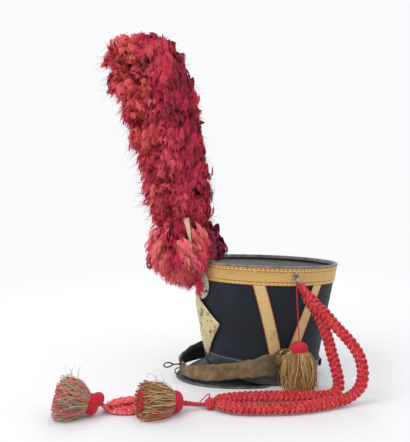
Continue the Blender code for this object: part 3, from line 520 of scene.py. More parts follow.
@dataclass(frozen=True)
class Cloth(Finish):
    """Plain woven cloth, slightly soiled."""

    pale: str = "dfd6c8"
    soiled: str = "b5a793"
    slot: Slot = Slot.COCKADE_CLOTH

    def paint(self, sheet: Sheet) -> Material:
        """Fills in the node tree."""
        broad = sheet.noise(70.0, 5.0, 0.6)
        warp, weft = (
            sheet.stripes(sheet.place, counts) for counts in ((700.0, 0.0, 300.0), (0.0, 0.0, 900.0)))
        colour = sheet.blend(sheet.between(broad, 0.35, 0.75), self.pale, self.soiled)
        normal = sheet.relief(sheet.times(warp, weft), 0.0003, 0.7, sheet.relief(broad, 0.001, 0.4))
        return sheet.finish(colour, 0.85, normal, Sheen_Weight=0.2)


@dataclass(frozen=True)
class Feather(Finish):
    """Dyed feathers; each has its own tint, partly dye and partly painted light and shade, and V runs from the quill's
    end to the tip.
    """

    dark: str = "74152f"
    middle: str = "c62848"
    light: str = "f2686a"
    slot: Slot = Slot.FEATHER

    def paint(self, sheet: Sheet) -> Material:
        """Fills in the node tree."""
        side, along = sheet.axes
        across = sheet.math("ABSOLUTE", sheet.minus(side, 0.5))
        barbs = sheet.stripes(sheet.add("CombineXYZ", None, X=across, Y=along).outputs[0], (-9.0, 14.0, 0.0))
        colour = sheet.blend(sheet.between(sheet.tint, 0.0, 0.5), self.dark, self.middle)
        colour = sheet.blend(sheet.between(sheet.tint, 0.5, 1.0), colour, self.light)
        colour = sheet.over(colour, self.light, sheet.between(along, 0.1, 1.0), 0.3)
        colour = sheet.over(colour, self.dark, barbs, 0.2)
        colour = sheet.over(colour, self.dark, sheet.between(across, 0.2, 0.5), 0.35)
        return sheet.finish(colour, 0.75, sheet.relief(barbs, 0.0004, 0.5), Specular_IOR_Level=0.2)


@dataclass(frozen=True)
class Thread(Finish):
    """Twisted threads in three colours by each strand's tint, the last ones red; V runs along them."""

    dark: str
    middle: str
    light: str
    red: str
    twist: float = 24.0
    slot: Slot = Slot.GOLD_FRINGE

    def paint(self, sheet: Sheet) -> Material:
        """Fills in the node tree."""
        twist = sheet.stripes(sheet.cloth, (1.0, self.twist, 0.0))
        colour = sheet.blend(sheet.between(sheet.tint, 0.0, 0.35), self.dark, self.middle)
        colour = sheet.blend(sheet.between(sheet.tint, 0.35, 0.75), colour, self.light)
        colour = sheet.blend(sheet.between(sheet.tint, 0.86, 0.9), colour, self.red)
        colour = sheet.over(colour, self.dark, twist, 0.35)
        return sheet.finish(colour, 0.6, sheet.relief(twist, 0.0002, 0.6), Sheen_Weight=0.2)


@dataclass(frozen=True)
class RedCord(Finish):
    """Red plaited wool with ochre threads; U runs round a strand, V along it."""

    red: str = "c41228"
    light: str = "e23c4a"
    shadow: str = "5a0714"
    ochre: str = "b9854e"
    ochre_share: float = 0.72
    yarns: float = 60.0
    slot: Slot = Slot.RED_CORD

    def paint(self, sheet: Sheet) -> Material:
        """Fills in the node tree."""
        yarn, fuzz = sheet.stripes(sheet.cloth, (3.0, self.yarns, 0.0)), sheet.noise(700.0, 3.0, 0.7)
        colour = sheet.blend(sheet.between(sheet.noise(90.0, 3.0, 0.6), 0.3, 0.7), self.red, self.light)
        colour = sheet.over(colour, self.shadow, sheet.between(yarn, 0.4, 1.0), 0.8)
        spots = sheet.between(sheet.noise(330.0, 2.0, 0.5), self.ochre_share - 0.12, self.ochre_share - 0.05)
        colour = sheet.over(colour, self.ochre, spots, 0.85)
        height = sheet.minus(sheet.times(fuzz, 0.5), yarn)
        return sheet.finish(colour, 0.75, sheet.relief(height, 0.0005, 0.8), Sheen_Weight=0.08)


@dataclass(frozen=True)
class Ground(Finish):
    """The plain pale floor, which turns to even white far from the hat."""

    def paint(self, sheet: Sheet) -> Material:
        """Fills in the node tree."""
        away = sheet.add("VectorMath", {"operation": "LENGTH"}, i0=sheet.place).outputs["Value"]
        far = sheet.between(away, 0.45, 2.6)
        sheet.feed(sheet.shader.inputs["Emission Color"], sheet.blend(far, "000000", "fafbfc"))
        colour = sheet.blend(far, sheet.blend(sheet.noise(8.0, 2.0), "e5e5e6", "e7e7e8"), "000000")
        return sheet.finish(colour, 0.9, Emission_Strength=1.0, Specular_IOR_Level=0.0)


FELT = Felt("black_felt_nap")
PEAK_LEATHER = Leather("peak_leather", "070808", "1b1e1e", 0.4, 900.0, (25.0, 25.0, 60.0), 0.6)
BLACK_LEATHER = Leather("black_leather_worn", "121315", "3b3f42", 0.42)
# Painted highlight: the top's lighter streaks stand in for streaks of highlight on the sunken leather.
TOP_LEATHER = Leather("top_leather_worn", "07090b", "20252a", 0.7, 500.0, (6.0, 30.0, 6.0), 0.55)
# The rim leather's light grey is partly painted highlight on the rim's edge.
RIM_LEATHER = Leather("rim_leather", "3a3735", "8b8680", 0.5, 900.0, (40.0, 40.0, 40.0), 0.45)
BAND_LEATHER = Leather("band_leather", "2b2c2b", "5e5d57", 0.5, 900.0, (30.0, 30.0, 90.0), 0.5)
BINDING = Leather("binding_leather", "262928", "6a6b66", 0.38, 900.0, (50.0, 50.0, 50.0), 0.45)
STRAP = ShadedStrap("strap_leather")
STRAP_LINING = Leather("strap_lining", "1b1e25", "41444a", 0.6, 700.0)
STRIP = Leather("strap_strip", "3a3838", "6c6966", 0.5, 700.0, (60.0, 60.0, 300.0), 0.5)
TOP_LACE = Lace("top_lace_gold", 150.0, 5.0, 0.2, "dcb56d", "845c29", "a05e26", "cca053", 105.0, 0.335)
SIDE_LACE = Lace("side_lace_gold", 90.0, 12.0, 0.07, "dcc188", "b89a5e", "c98a45", "d0a258")
RED_EDGE = Piping("red_edging")
PLATE = Metal("plate_brass_tarnished", "d2c496", "6e5236", 0.45, 0.45, 75.0, 0.55, Slot.PLATE_BRASS)
OLD_METAL = Metal("old_metal", "5a554a", "2b2620", 0.4, 0.75, 120.0, 0.5)
BOSS_METAL = Metal("boss_metal", "a08a5e", "4a3c28", 0.36, 0.7, 140.0, 0.55)
GREY_METAL = Metal("grey_metal", "a8a29a", "4a4039", 0.35, 0.8, 150.0, 0.5)
COCKADE = Cloth("cockade_pleats")
UPPER_FEATHER = Feather("upper_feather")
BALL_FEATHER = Feather("ball_feather", "6a1430", "d22a4c", "f8787a")
# Painted shade: a darker copy of the feather finish for the down cores, which show only in the gaps between feathers.
DOWN_PAINTED_SHADE = Feather("down", "3c0c20", "6a1630", "8a2440")
QUILL = Leather("quill_shaft", "b98e68", "e6c9a6", 0.5, 300.0, (90.0, 90.0, 8.0), slot=Slot.QUILL)
CORD = RedCord("red_plait")
TWIST = RedCord("red_twist", yarns=40.0, ochre_share=0.8)
HEAD_THREAD = RedCord("tassel_head_red", "cc0426", "de0f36", "8c0418", "b9854e", 0.95, 30.0, Slot.GOLD_FRINGE)
LEAF = RedCord("leaf_plait", "ea1e36", "f65c68", "b01828", "f4ac9c", 0.66, 60.0)
FRINGE = Thread("gold_fringe_threads", "5a3016", "a67e40", "d8b672", "b8303a")
MIDDLE_FRINGE = Thread("olive_fringe_threads", "6e4426", "b08a54", "d8ba7e", "dc3044")
FLOOR_FRINGE = Thread("worn_fringe_threads", "785844", "b0967a", "d4bc9a", "ee4c5a")


def new_mesh() -> BMesh:
    """Starts a mesh with a UV map and a tint on its points."""
    bm = bmesh.new()
    bm.loops.layers.uv.new("UVMap")
    bm.verts.layers.float.new("tint")
    return bm


def lay_grid(bm: BMesh, columns: int, rows: int, place: Place, tint: float = 0.5) -> list[BMVert]:
    """Adds a grid and puts each of its points in place.

    Args:
        bm: The mesh that it is added to.
        columns: Faces along U.
        rows: Faces along V.
        place: Gives the point for U and V, each from 0 to 1.
        tint: The tint of its points.

    Returns:
        The new points.
    """
    uv_layer = bm.loops.layers.uv["UVMap"]
    tint_layer = bm.verts.layers.float["tint"]
    made = bmesh.ops.create_grid(bm, x_segments=columns, y_segments=rows, size=0.5)["verts"]
    for face in dict.fromkeys(face for vert in made for face in vert.link_faces):
        for loop in face.loops:
            loop[uv_layer].uv = (loop.vert.co.x + 0.5, loop.vert.co.y + 0.5)
    for vert in made:
        vert.co = place(vert.co.x + 0.5, vert.co.y + 0.5)
        vert[tint_layer] = tint
    return made


def close_seams(bm: BMesh, distance: float = 0.000002) -> None:
    """Joins points that lie on each other."""
    bmesh.ops.remove_doubles(bm, verts=bm.verts, dist=distance)


def grid_mesh(columns: int, rows: int, place: Place, seam: float = 0.000002) -> BMesh:
    """A mesh of one grid with its seams closed."""
    bm = new_mesh()
    lay_grid(bm, columns, rows, place)
    close_seams(bm, seam)
    return bm


def polar(angle: float, reach: float, height: float = 0.0) -> Vector:
    """The point at an angle and a distance round the Z axis."""
    return Vector((cos(angle) * reach, sin(angle) * reach, height))


def tenths(*rows: tuple[int, ...]) -> tuple:
    """Turns points in tenths of a millimetre into metres."""
    return tuple(tuple(part / 10000 for part in row) for row in rows)


def keep_above_floor(bm: BMesh) -> None:
    """Lifts every point that lies under the surface."""
    for vert in bm.verts:
        vert.co.z = max(vert.co.z, GAP)


def smooth_route(points: Sequence[Sequence[float]], steps: int) -> list[Vector]:
    """Points of a smooth curve through the chosen ones.

    Args:
        points: The chosen points.
        steps: New points to each stretch.

    Returns:
        The curve's points.
    """
    places = [Vector(point) for point in points]
    ends = [2 * places[0] - places[1], *places, 2 * places[-1] - places[-2]]
    curve = []
    for before, start, end, after in zip(ends, ends[1:], ends[2:], ends[3:]):
        for step in range(steps):
            share = step / steps
            leave, arrive = (end - before) / 2, (after - start) / 2
            curve.append(
                start * (2 * share**3 - 3 * share**2 + 1) + leave * (share**3 - 2 * share**2 + share)
                + end * (3 * share**2 - 2 * share**3) + arrive * (share**3 - share**2)
            )
    curve.append(places[-1])
    return curve


class Line:
    """A line through points, read by its share of length."""

    def __init__(self, points: Sequence[Vector]) -> None:
        """Measures the line."""
        self.points = [Vector(point) for point in points]
        self.reach = [0.0]
        for first, second in zip(self.points, self.points[1:]):
            self.reach.append(self.reach[-1] + (second - first).length)
        self.length = self.reach[-1]

    def at(self, share: float) -> Vector:
        """Returns the point at a share of the length."""
        want = min(max(share, 0.0), 1.0) * self.length
        low, high = 0, len(self.reach) - 1
        while high - low > 1:
            middle = (low + high) // 2
            low, high = (middle, high) if self.reach[middle] <= want else (low, middle)
        span = max(self.reach[high] - self.reach[low], 1e-9)
        return self.points[low].lerp(self.points[high], (want - self.reach[low]) / span)

    def along(self, share: float) -> Vector:
        """Returns the direction at a share of the length."""
        step = 0.004
        return (self.at(min(share + step, 1.0)) - self.at(max(share - step, 0.0))).normalized()


def add_strand(
    bm: BMesh, points: Sequence[Vector], radius: Curve, sides: int,
    flat: Optional[Callable[[float], Vector]] = None, squeeze: float = 1.0, tint: float = 0.5,
    capped: bool = True,
) -> None:
    """Adds a round or flattened strand along points.

    Args:
        bm: The mesh that it is added to.
        points: The centre line.
        radius: Gives the radius for a share of the length.
        sides: Faces round it.
        flat: Gives the direction of its thin way for a share of the length.
        squeeze: Thickness that way as a share of the width.
        tint: The tint of its points.
        capped: Whether the ends are drawn to a point.
    """
    steps = len(points) - 1
    frames = []
    side = UP
    if abs((points[1] - points[0]).normalized().z) > 0.9:
        side = Vector((1.0, 0.0, 0.0))
    for index, point in enumerate(points):
        before, after = points[max(index - 1, 0)], points[min(index + 1, steps)]
        along = (after - before).normalized()
        thin = flat(index / steps) if flat else side
        side = thin = (thin - along * thin.dot(along)).normalized()
        frames.append((point, thin, along.cross(thin)))

    rows = steps + (2 if capped else 0)

    def place(around: float, share: float) -> Vector:
        row = round(share * rows)
        index = min(max(row - (1 if capped else 0), 0), steps)
        point, thin, wide = frames[index]
        size = radius(index / steps)
        if capped and row in (0, rows):
            size *= 0.02
        turn = -tau * around
        return point + wide * (size * cos(turn)) + thin * (size * squeeze * sin(turn))

    lay_grid(bm, sides, rows, place, tint)


def strand_mesh(points: Sequence[Vector], radius: float, sides: int) -> BMesh:
    """A mesh of one round strand of even thickness."""
    bm = new_mesh()
    add_strand(bm, points, lambda share: radius, sides)
    close_seams(bm)
    return bm


def spread_copies(
    bm: BMesh, count: int, shape: Callable[[np.ndarray], np.ndarray], tints: Sequence[float],
) -> None:
    """Multiplies a small mesh and puts every point of every copy in place.

    Args:
        bm: The mesh with one copy.
        count: Copies wanted.
        shape: Gives the places, copies × points × 3, for the first copy's own points.
        tints: The tint of each copy.
    """
    copy, order = bm.verts.layers.int.new("copy"), bm.verts.layers.int.new("order")
    tint = bm.verts.layers.float["tint"]
    for index, vert in enumerate(bm.verts):
        vert[order] = index
    places = shape(np.array([vert.co[:] for vert in bm.verts])).tolist()
    made = 1
    while made < count:
        wanted = min(made, count - made)
        verts = [vert for vert in bm.verts if vert[copy] < wanted]
        edges = [edge for edge in bm.edges if edge.verts[0][copy] < wanted]
        faces = [face for face in bm.faces if face.verts[0][copy] < wanted]
        new = bmesh.ops.duplicate(bm, geom=[*verts, *edges, *faces])["geom"]
        for item in new:
            if isinstance(item, BMVert):
                item[copy] += made
        made += wanted
    for vert in bm.verts:
        vert.co = places[vert[copy]][vert[order]]
        vert[tint] = tints[vert[copy]]
    bm.verts.layers.int.remove(bm.verts.layers.int["order"])
    bm.verts.layers.int.remove(bm.verts.layers.int["copy"])


@dataclass
class Threads:
    """Many thin round threads of one make."""

    sides: int = 3
    taper: float = 0.35
    lines: list = field(default_factory=list)
    sizes: list = field(default_factory=list)
    tints: list = field(default_factory=list)

    def add(self, points: Sequence[Vector], size: float, tint: float) -> None:
        """Adds a thread; all have the same number of points."""
        self.lines.append([point[:] for point in points])
        self.sizes.append(size)
        self.tints.append(tint)

    def mesh(self) -> BMesh:
        """Returns the threads' mesh."""
        lines = np.array(self.lines)
        rows = lines.shape[1] - 1
        along = np.gradient(lines, axis=1)
        along /= np.linalg.norm(along, axis=2, keepdims=True) + 1e-12
        first = np.cross(along, np.where(np.abs(along[..., 2:]) > 0.8, (1.0, 0.0, 0.0), (0.0, 0.0, 1.0)))
        first /= np.linalg.norm(first, axis=2, keepdims=True)
        second = np.cross(along, first)
        bm = new_mesh()
        lay_grid(bm, self.sides, rows, lambda u, v: polar(tau * u, 1.0, v))
        close_seams(bm, 0.0001)

        def shape(own: np.ndarray) -> np.ndarray:
            row = np.rint(own[:, 2] * rows).astype(int)
            size = np.array(self.sizes)[:, None, None] * (1 - self.taper * own[None, :, 2:])
            ring = first[:, row] * own[None, :, :1] + second[:, row] * own[None, :, 1:2]
            return lines[:, row] + ring * size

        spread_copies(bm, len(self.lines), shape, self.tints)
        return bm


@dataclass
class Feathers:
    """Many feathers of one make: curved leaves of close barbs, or fans of loose ones."""

    fan: bool = False
    barbs: int = 13
    rows: list = field(default_factory=list)

    def add(
        self, root: Vector, way: Vector, facing: Vector, long: float, wide: float, droop: float, tint: float,
    ) -> None:
        """Adds a feather.

        Args:
            root: Where it grows.
            way: The direction to its tip.
            facing: The direction that its face turns to.
            long: Its length.
            wide: Its width.
            droop: How far the tip sinks, as a share of the length.
            tint: Its tint.
        """
        across = way.cross(facing).normalized()
        face = across.cross(way).normalized()
        self.rows.append((*root, *way, *across, *face, long, wide, droop, tint))

    def shape(self, own: np.ndarray) -> np.ndarray:
        """Gives every feather's points."""
        data = np.array(self.rows)[:, None, :]
        root, way, across, face = (data[..., start:start + 3] for start in (0, 3, 6, 9))
        long, wide, droop = (data[..., start:start + 1] for start in (12, 13, 14))
        u, v, w = (own[None, :, part:part + 1] for part in range(3))
        number = np.arange(len(self.rows))[:, None, None]
        uneven = np.sin(number * 12.9 + w * (78.2 if self.fan else 71.3))
        if self.fan:
            reach = (1 - v) * 0.16 * (1 - np.abs(w)) + v * (1 - 0.42 * w * w) * (1 + 0.14 * uneven)
            bend = 0.09 * np.cos(number * 7.7 + w * 41.3)
            aside = w * v**0.8 * 0.66 + bend * v + (u - 0.5) * 0.13 * (1 - 0.85 * v)
            lift = 0.12 * np.sin(pi * v) - (0.22 * w * w - 0.08 * uneven) * v
        else:
            start = np.abs(w) - 1
            leaf = 0.5 * np.sin(pi * (0.12 + 0.78 * start)) ** 0.7 * (1 + 0.12 * uneven)
            reach = start + (u - 0.5) * 0.21 * (1 - 0.6 * v) + v * (0.2 + 0.04 * uneven)
            aside = np.sign(w) * leaf * v**0.85
            lift = 0.2 * np.sin(pi * np.clip(reach, 0, 1)) - 0.5 * aside**2 - (0.05 * uneven + 0.03) * v
        places = root + way * (long * reach) + across * (wide * aside) + face * (long * lift)
        places[..., 2:] -= droop * long * v * v
        places[..., 2:] = np.maximum(places[..., 2:], 0.001)
        return places

    def mesh(self) -> BMesh:
        """Returns the feathers' mesh."""
        bm = new_mesh()
        if self.fan:
            for barb in range(self.barbs):
                lay_grid(bm, 1, 3, lambda u, v, w=2 * barb / (self.barbs - 1) - 1: Vector((u, v, w)))
        else:
            for barb in range(12):
                side = 1 if barb % 2 else -1
                lay_grid(bm, 1, 2, lambda u, v, w=side * (1.06 + barb // 2 * 0.148): Vector((u, v, w)))
        spread_copies(bm, len(self.rows), self.shape, [row[15] for row in self.rows])
        return bm


def dress(
    name: str, bm: BMesh, finish: Finish, nodes: Sequence[str] = (),
    sharp: float = 50.0, thickness: float = 0.0, offset: float = 1.0, bevel: float = 0.0, rounds: int = 0,
    others: Sequence[Finish] = (),
) -> Object:
    """Makes a piece of a mesh, dresses it and fixes it to the hat.

    Args:
        name: The piece's name.
        bm: Its mesh, which is freed.
        finish: Its finish.
        nodes: The CAD nodes that it replaces.
        sharp: Angle in degrees past which an edge looks sharp.
        thickness: Thickness given to an open sheet.
        offset: Where the sheet lies in its thickness, 1 for outside it.
        bevel: Width of the rounding of its sharp edges.
        rounds: Levels of subdivision.
        others: Further finishes, for faces with a later material index.

    Returns:
        The object.
    """
    mesh = bpy.data.meshes.new(name)
    bm.to_mesh(mesh)
    bm.free()
    mesh.shade_smooth()
    mesh.set_sharp_from_angle(angle=radians(sharp))
    item = bpy.data.objects.new(name, mesh)
    for entry in (finish, *others):
        mesh.materials.append(entry.material())
    bpy.context.scene.collection.objects.link(item)
    if thickness:
        wall = item.modifiers.new("wall", "SOLIDIFY")
        wall.thickness = thickness
        wall.offset = offset
        wall.use_even_offset = True
    if bevel:
        edge = item.modifiers.new("edge", "BEVEL")
        edge.width = bevel
        edge.segments = 2
        edge.limit_method = "ANGLE"
        edge.angle_limit = radians(sharp)
    if rounds:
        soft = item.modifiers.new("soft", "SUBSURF")
        soft.levels = soft.render_levels = rounds
    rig.ride(item, BODY)
    if nodes:
        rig.replaces(item, *nodes)
    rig.slot(item, finish.slot.value)
    LOG.info("%s: %d faces", name, len(mesh.polygons))
    return item


@dataclass(frozen=True)
class Form:
    """The crown's flared oval and what follows it: its edges, the peak's surface, the strap's seat."""

    height: float = 0.2036
    wall: float = 0.003
    base_half_width: float = 0.0834
    base_half_length: float = 0.098
    top_half_width: float = 0.1231
    top_half_length: float = 0.1284
    top_shift: float = 0.0065
    top_slope: float = 0.032
    front_rise: float = 0.027
    rim_drop: float = 0.003
    rim_thickness: float = 0.0012
    lace_width: float = 0.0285
    lace_thickness: float = 0.0012
    band_height: float = 0.0395
    band_tilt: float = 0.0095
    band_thickness: float = 0.002
    peak_half_angle: float = radians(78)
    peak_depth: float = 0.0534
    peak_side: float = 0.0129
    peak_thickness: float = 0.0025
    peak_bulge: float = 0.003
    binding_radius: float = 0.0018

    def half_sizes(self, height: float, out: float = 0.0) -> tuple[float, float]:
        """Half width and half length of the crown's oval at a height."""
        share = height / self.height
        return (
            self.base_half_width + (self.top_half_width - self.base_half_width) * share + out,
            self.base_half_length + (self.top_half_length - self.base_half_length) * share + out,
        )

    def point(self, angle: float, height: float, out: float = 0.0) -> Vector:
        """Point `out` outside the felt's outer face."""
        half_width, half_length = self.half_sizes(height, out)
        shift = self.top_shift * height / self.height
        return Vector((half_width * sin(angle), shift - half_length * cos(angle), height))

    def direction(self, angle: float, height: float) -> Vector:
        """Direction that the felt's outer face points to."""
        step = 0.001
        along = self.point(angle + step, height) - self.point(angle - step, height)
        up = self.point(angle, height + step) - self.point(angle, height - step)
        return along.cross(up).normalized()

    def rim_height(self, angle: float) -> float:
        """Height of the binding's upper edge."""
        return self.height + self.top_slope * (self.top_half_length * cos(angle) - self.top_shift)

    def felt_bottom(self, angle: float) -> float:
        """Height of the felt's lower edge, arched over the peak's seam."""
        share = abs(atan2(sin(angle), cos(angle))) / self.peak_half_angle
        return self.front_rise * cos(share * pi / 2) ** 2 if share < 1 else 0.0

    def felt_top(self, angle: float) -> float:
        """Height of the felt's upper edge."""
        return self.rim_height(angle) - self.rim_thickness - GAP

    def band_bottom(self, angle: float) -> float:
        """Height of the base band's lower edge."""
        fade = radians(7)
        turned = abs(atan2(sin(angle), cos(angle)))
        share = ease((self.peak_half_angle + fade + radians(1) - turned) / fade)
        return self.felt_bottom(angle) + GAP + (self.peak_thickness * 1.2 + 2 * GAP) * share

    def band_top(self, angle: float) -> float:
        """Height of the base band's upper edge."""
        return self.band_height + self.band_tilt * cos(angle)

    def lace_top(self, angle: float) -> float:
        """Height of the top lace's upper edge."""
        return self.rim_height(angle) - self.rim_drop - GAP

    def lace_bottom(self, angle: float) -> float:
        """Height of the top lace's lower edge."""
        return self.lace_top(angle) - self.lace_width

    def peak_edge(self, angle: float) -> Vector:
        """Point of the peak's outer edge, at the middle of its binding."""
        share = abs(atan2(sin(angle), cos(angle))) / self.peak_half_angle
        spread = max(0.0, cos(min(share, 1.0) * pi / 2)) ** 0.4
        clear = self.binding_radius + self.band_thickness + 3 * GAP
        half_width = self.base_half_width + clear + self.peak_side * spread
        half_length = self.base_half_length + clear + self.peak_depth * spread
        return Vector((half_width * sin(angle), -half_length * cos(angle), self.binding_radius + GAP))

    def peak_place(self, angle: float, reach: float) -> Vector:
        """Point of the peak's underside, from the seam (0) to the binding (1)."""
        seam = self.point(angle, self.felt_bottom(angle) + GAP, GAP)
        step = 0.01
        along = self.peak_edge(angle + step) - self.peak_edge(angle - step)
        outward = Vector((along.y, -along.x, 0.0)).normalized()
        edge = self.peak_edge(angle) - outward * (self.binding_radius + 2 * GAP + self.peak_thickness / 2)
        edge.z = GAP
        place = seam.lerp(edge, reach)
        share = self.felt_bottom(angle) / self.front_rise
        place.z += self.peak_bulge * share * sin(pi * reach)
        return place

    def peak_cover(self, angle: float, reach: float) -> float:
        """Height of the peak's upper side, or of the floor beside it."""
        if abs(angle) > self.peak_half_angle:
            return 0.0
        return self.peak_place(angle, reach).z + self.peak_thickness * 1.2

    def strap_seat(self) -> float:
        """Distance of the strap's inner face from the felt."""
        return 2 * GAP + self.band_thickness

    def strap_place(self, angle: float, height: float, reach: float, shift: float = 0.0) -> Vector:
        """Point of the chin strap's inner face at a height, `shift` further out."""
        foot = self.point(angle, 0.0, self.strap_seat())
        lean = self.point(angle, height, self.strap_seat()) - foot
        edge = self.peak_edge(angle)
        outward = (edge - self.point(angle, 0.0)).to_2d().normalized().to_3d()
        place = foot.lerp(edge, reach) + lean * (1.0 - 0.7 * reach * reach) + outward * shift
        place.z = height
        return place

    def cockade_outside(self) -> float:
        """Distance of the cockade's outer face from the felt."""
        return 2 * GAP + self.lace_thickness + 0.0033


FORM = Form()


def ring_section(
    columns: int, corners: Sequence[tuple[float, Curve]],
    lift: Optional[Callable[[float, float], float]] = None,
) -> BMesh:
    """A closed section run once round the crown.

    Args:
        columns: Steps round the crown.
        corners: The section's corners, each its distance outside the felt and its height for an angle.
        lift: Extra distance outwards for an angle and a height.

    Returns:
        The mesh; U runs round the crown and V round the section.
    """
    count = len(corners)
    bm = new_mesh()

    def place(around: float, share: float) -> Vector:
        angle = tau * round(around * columns) / columns - pi
        out, height = corners[round(share * count) % count]
        level = height(angle)
        if round(around * columns) == columns:
            angle = -pi
        return FORM.point(angle, level, out + (lift(angle, level) if lift else 0.0))

    lay_grid(bm, columns, count, place)
    close_seams(bm)
    return bm


def strip_corners(rows: Sequence[tuple[float, float]], low: Curve, high: Curve) -> list[tuple[float, Curve]]:
    """A section's corners, from distances outside the felt and shares of the way between two edges."""
    return [
        (out, lambda angle, part=share: low(angle) + (high(angle) - low(angle)) * part)
        for out, share in rows
    ]


def set_strip_uv(bm: BMesh, low: Curve, high: Curve) -> None:
    """Gives a ring UVs by angle and by height between two edges."""
    layer = bm.loops.layers.uv["UVMap"]
    for face in bm.faces:
        angles = [atan2(loop.vert.co.x, -loop.vert.co.y) for loop in face.loops]
        wraps = max(angles) - min(angles) > pi
        for loop, angle in zip(face.loops, angles):
            turn = angle + tau if wraps and angle < 0 else angle
            bottom, top = low(angle), high(angle)
            loop[layer].uv = (turn / tau + 0.5, (loop.vert.co.z - bottom) / (top - bottom))


def bend_round(bm: BMesh, angle: float, height: float, out: Callable[[Vector], float]) -> None:
    """Bends a flat mesh, x to the wearer's left, y up and z outwards, round the crown."""
    half_width, half_length = FORM.half_sizes(height)
    arc = hypot(half_width * cos(angle), half_length * sin(angle))
    for vert in bm.verts:
        vert.co = FORM.point(angle + vert.co.x / arc, height + vert.co.y, out(vert.co) + vert.co.z)


def seat_on_crown(bm: BMesh, angle: float, height: float, out: float) -> None:
    """Turns a mesh's Z axis outwards and stands it on the crown."""
    outward = FORM.direction(angle, height)
    turn = outward.to_track_quat("Z", "Y").to_matrix().to_4x4()
    bmesh.ops.transform(
        bm, matrix=Matrix.Translation(FORM.point(angle, height) + outward * out) @ turn, verts=bm.verts,
    )


def turned(profile: Sequence[tuple[float, float]], steps: int) -> BMesh:
    """A turned mesh on the Z axis, its profile rows (radius, height) starting and ending on the axis."""
    bm = new_mesh()
    verts = [bm.verts.new((radius, 0.0, height)) for radius, height in profile]
    edges = [bm.edges.new((first, second)) for first, second in zip(verts, verts[1:])]
    bmesh.ops.spin(
        bm, geom=edges, cent=(0, 0, 0), axis=UP, dvec=(0, 0, 0), angle=tau, steps=steps, use_merge=True,
    )
    close_seams(bm, 0.00001)
    face_outwards(bm)
    return bm


def face_outwards(bm: BMesh) -> None:
    """Turns the faces of a closed mesh outwards."""
    bmesh.ops.recalc_face_normals(bm, faces=bm.faces)
    if bm.calc_volume(signed=True) < 0:
        bmesh.ops.reverse_faces(bm, faces=bm.faces)


@dataclass
class Studio:
    """The camera at the photograph's angle, a pale floor and soft light."""

    azimuth: float = radians(69.42)
    position: tuple[float, float, float] = (0.9362, -0.3515, 0.2973)
    yaw: float = radians(5.922)
    pitch: float = radians(1.36)
    lens: float = 44.81
    floor_half: float = 12.0

    def set_camera(self) -> None:
        """Adds the camera."""
        toward = Vector((-sin(self.azimuth), cos(self.azimuth), 0.0))
        level = toward * cos(self.yaw) - polar(self.azimuth, 1.0) * sin(self.yaw)
        forward = level * cos(self.pitch) - UP * sin(self.pitch)
        data = bpy.data.cameras.new("view")
        data.sensor_fit = "VERTICAL"
        data.sensor_height = 36.0
        data.lens = self.lens
        data.clip_end = 100.0
        camera = bpy.data.objects.new("view", data)
        camera.location = self.position
        camera.rotation_euler = forward.to_track_quat("-Z", "Y").to_euler()
        bpy.context.scene.collection.objects.link(camera)
        bpy.context.scene.camera = camera

    def lay_floor(self) -> None:
        """Adds the floor."""
        bm = new_mesh()
        lay_grid(bm, 2, 2, lambda u, v: Vector(((u - 0.5), (v - 0.5), 0.0)) * 2 * self.floor_half)
        mesh = bpy.data.meshes.new("floor")
        bm.to_mesh(mesh)
        bm.free()
        mesh.materials.append(Ground("pale_floor").material())
        item = bpy.data.objects.new("floor", mesh)
        bpy.context.scene.collection.objects.link(item)
        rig.stage(item)

    def add_light(
        self, name: str, place: Sequence[float], size: float, power: float, colour: str = "ffffff",
    ) -> None:
        """Adds a square soft light that faces the hat."""
        data = bpy.data.lights.new(name, "AREA")
        data.shape = "SQUARE"
        data.size = size
        data.energy = power
        data.color = linear(colour)[:3]
        lamp = bpy.data.objects.new(name, data)
        lamp.location = place
        lamp.rotation_euler = (Vector((0.05, 0.0, 0.2)) - Vector(place)).to_track_quat("-Z", "Y").to_euler()
        bpy.context.scene.collection.objects.link(lamp)

    def set_light(self) -> None:
        """Adds the sky and the lamps."""
        scene = bpy.context.scene
        scene.view_settings.view_transform = "Standard"
        world = bpy.data.worlds.new("studio")
        world.use_nodes = True
        sky = world.node_tree.nodes["Background"]
        sky.inputs["Color"].default_value = linear("f4f5f7")
        sky.inputs["Strength"].default_value = 1.05
        scene.world = world
        self.add_light("key", (0.9, -1.75, 1.9), 1.4, 24.0)
        self.add_light("fill", (1.8, 1.4, 1.2), 1.6, 4.0)
        self.add_light("back", (-1.6, 0.6, 1.8), 1.4, 11.0)


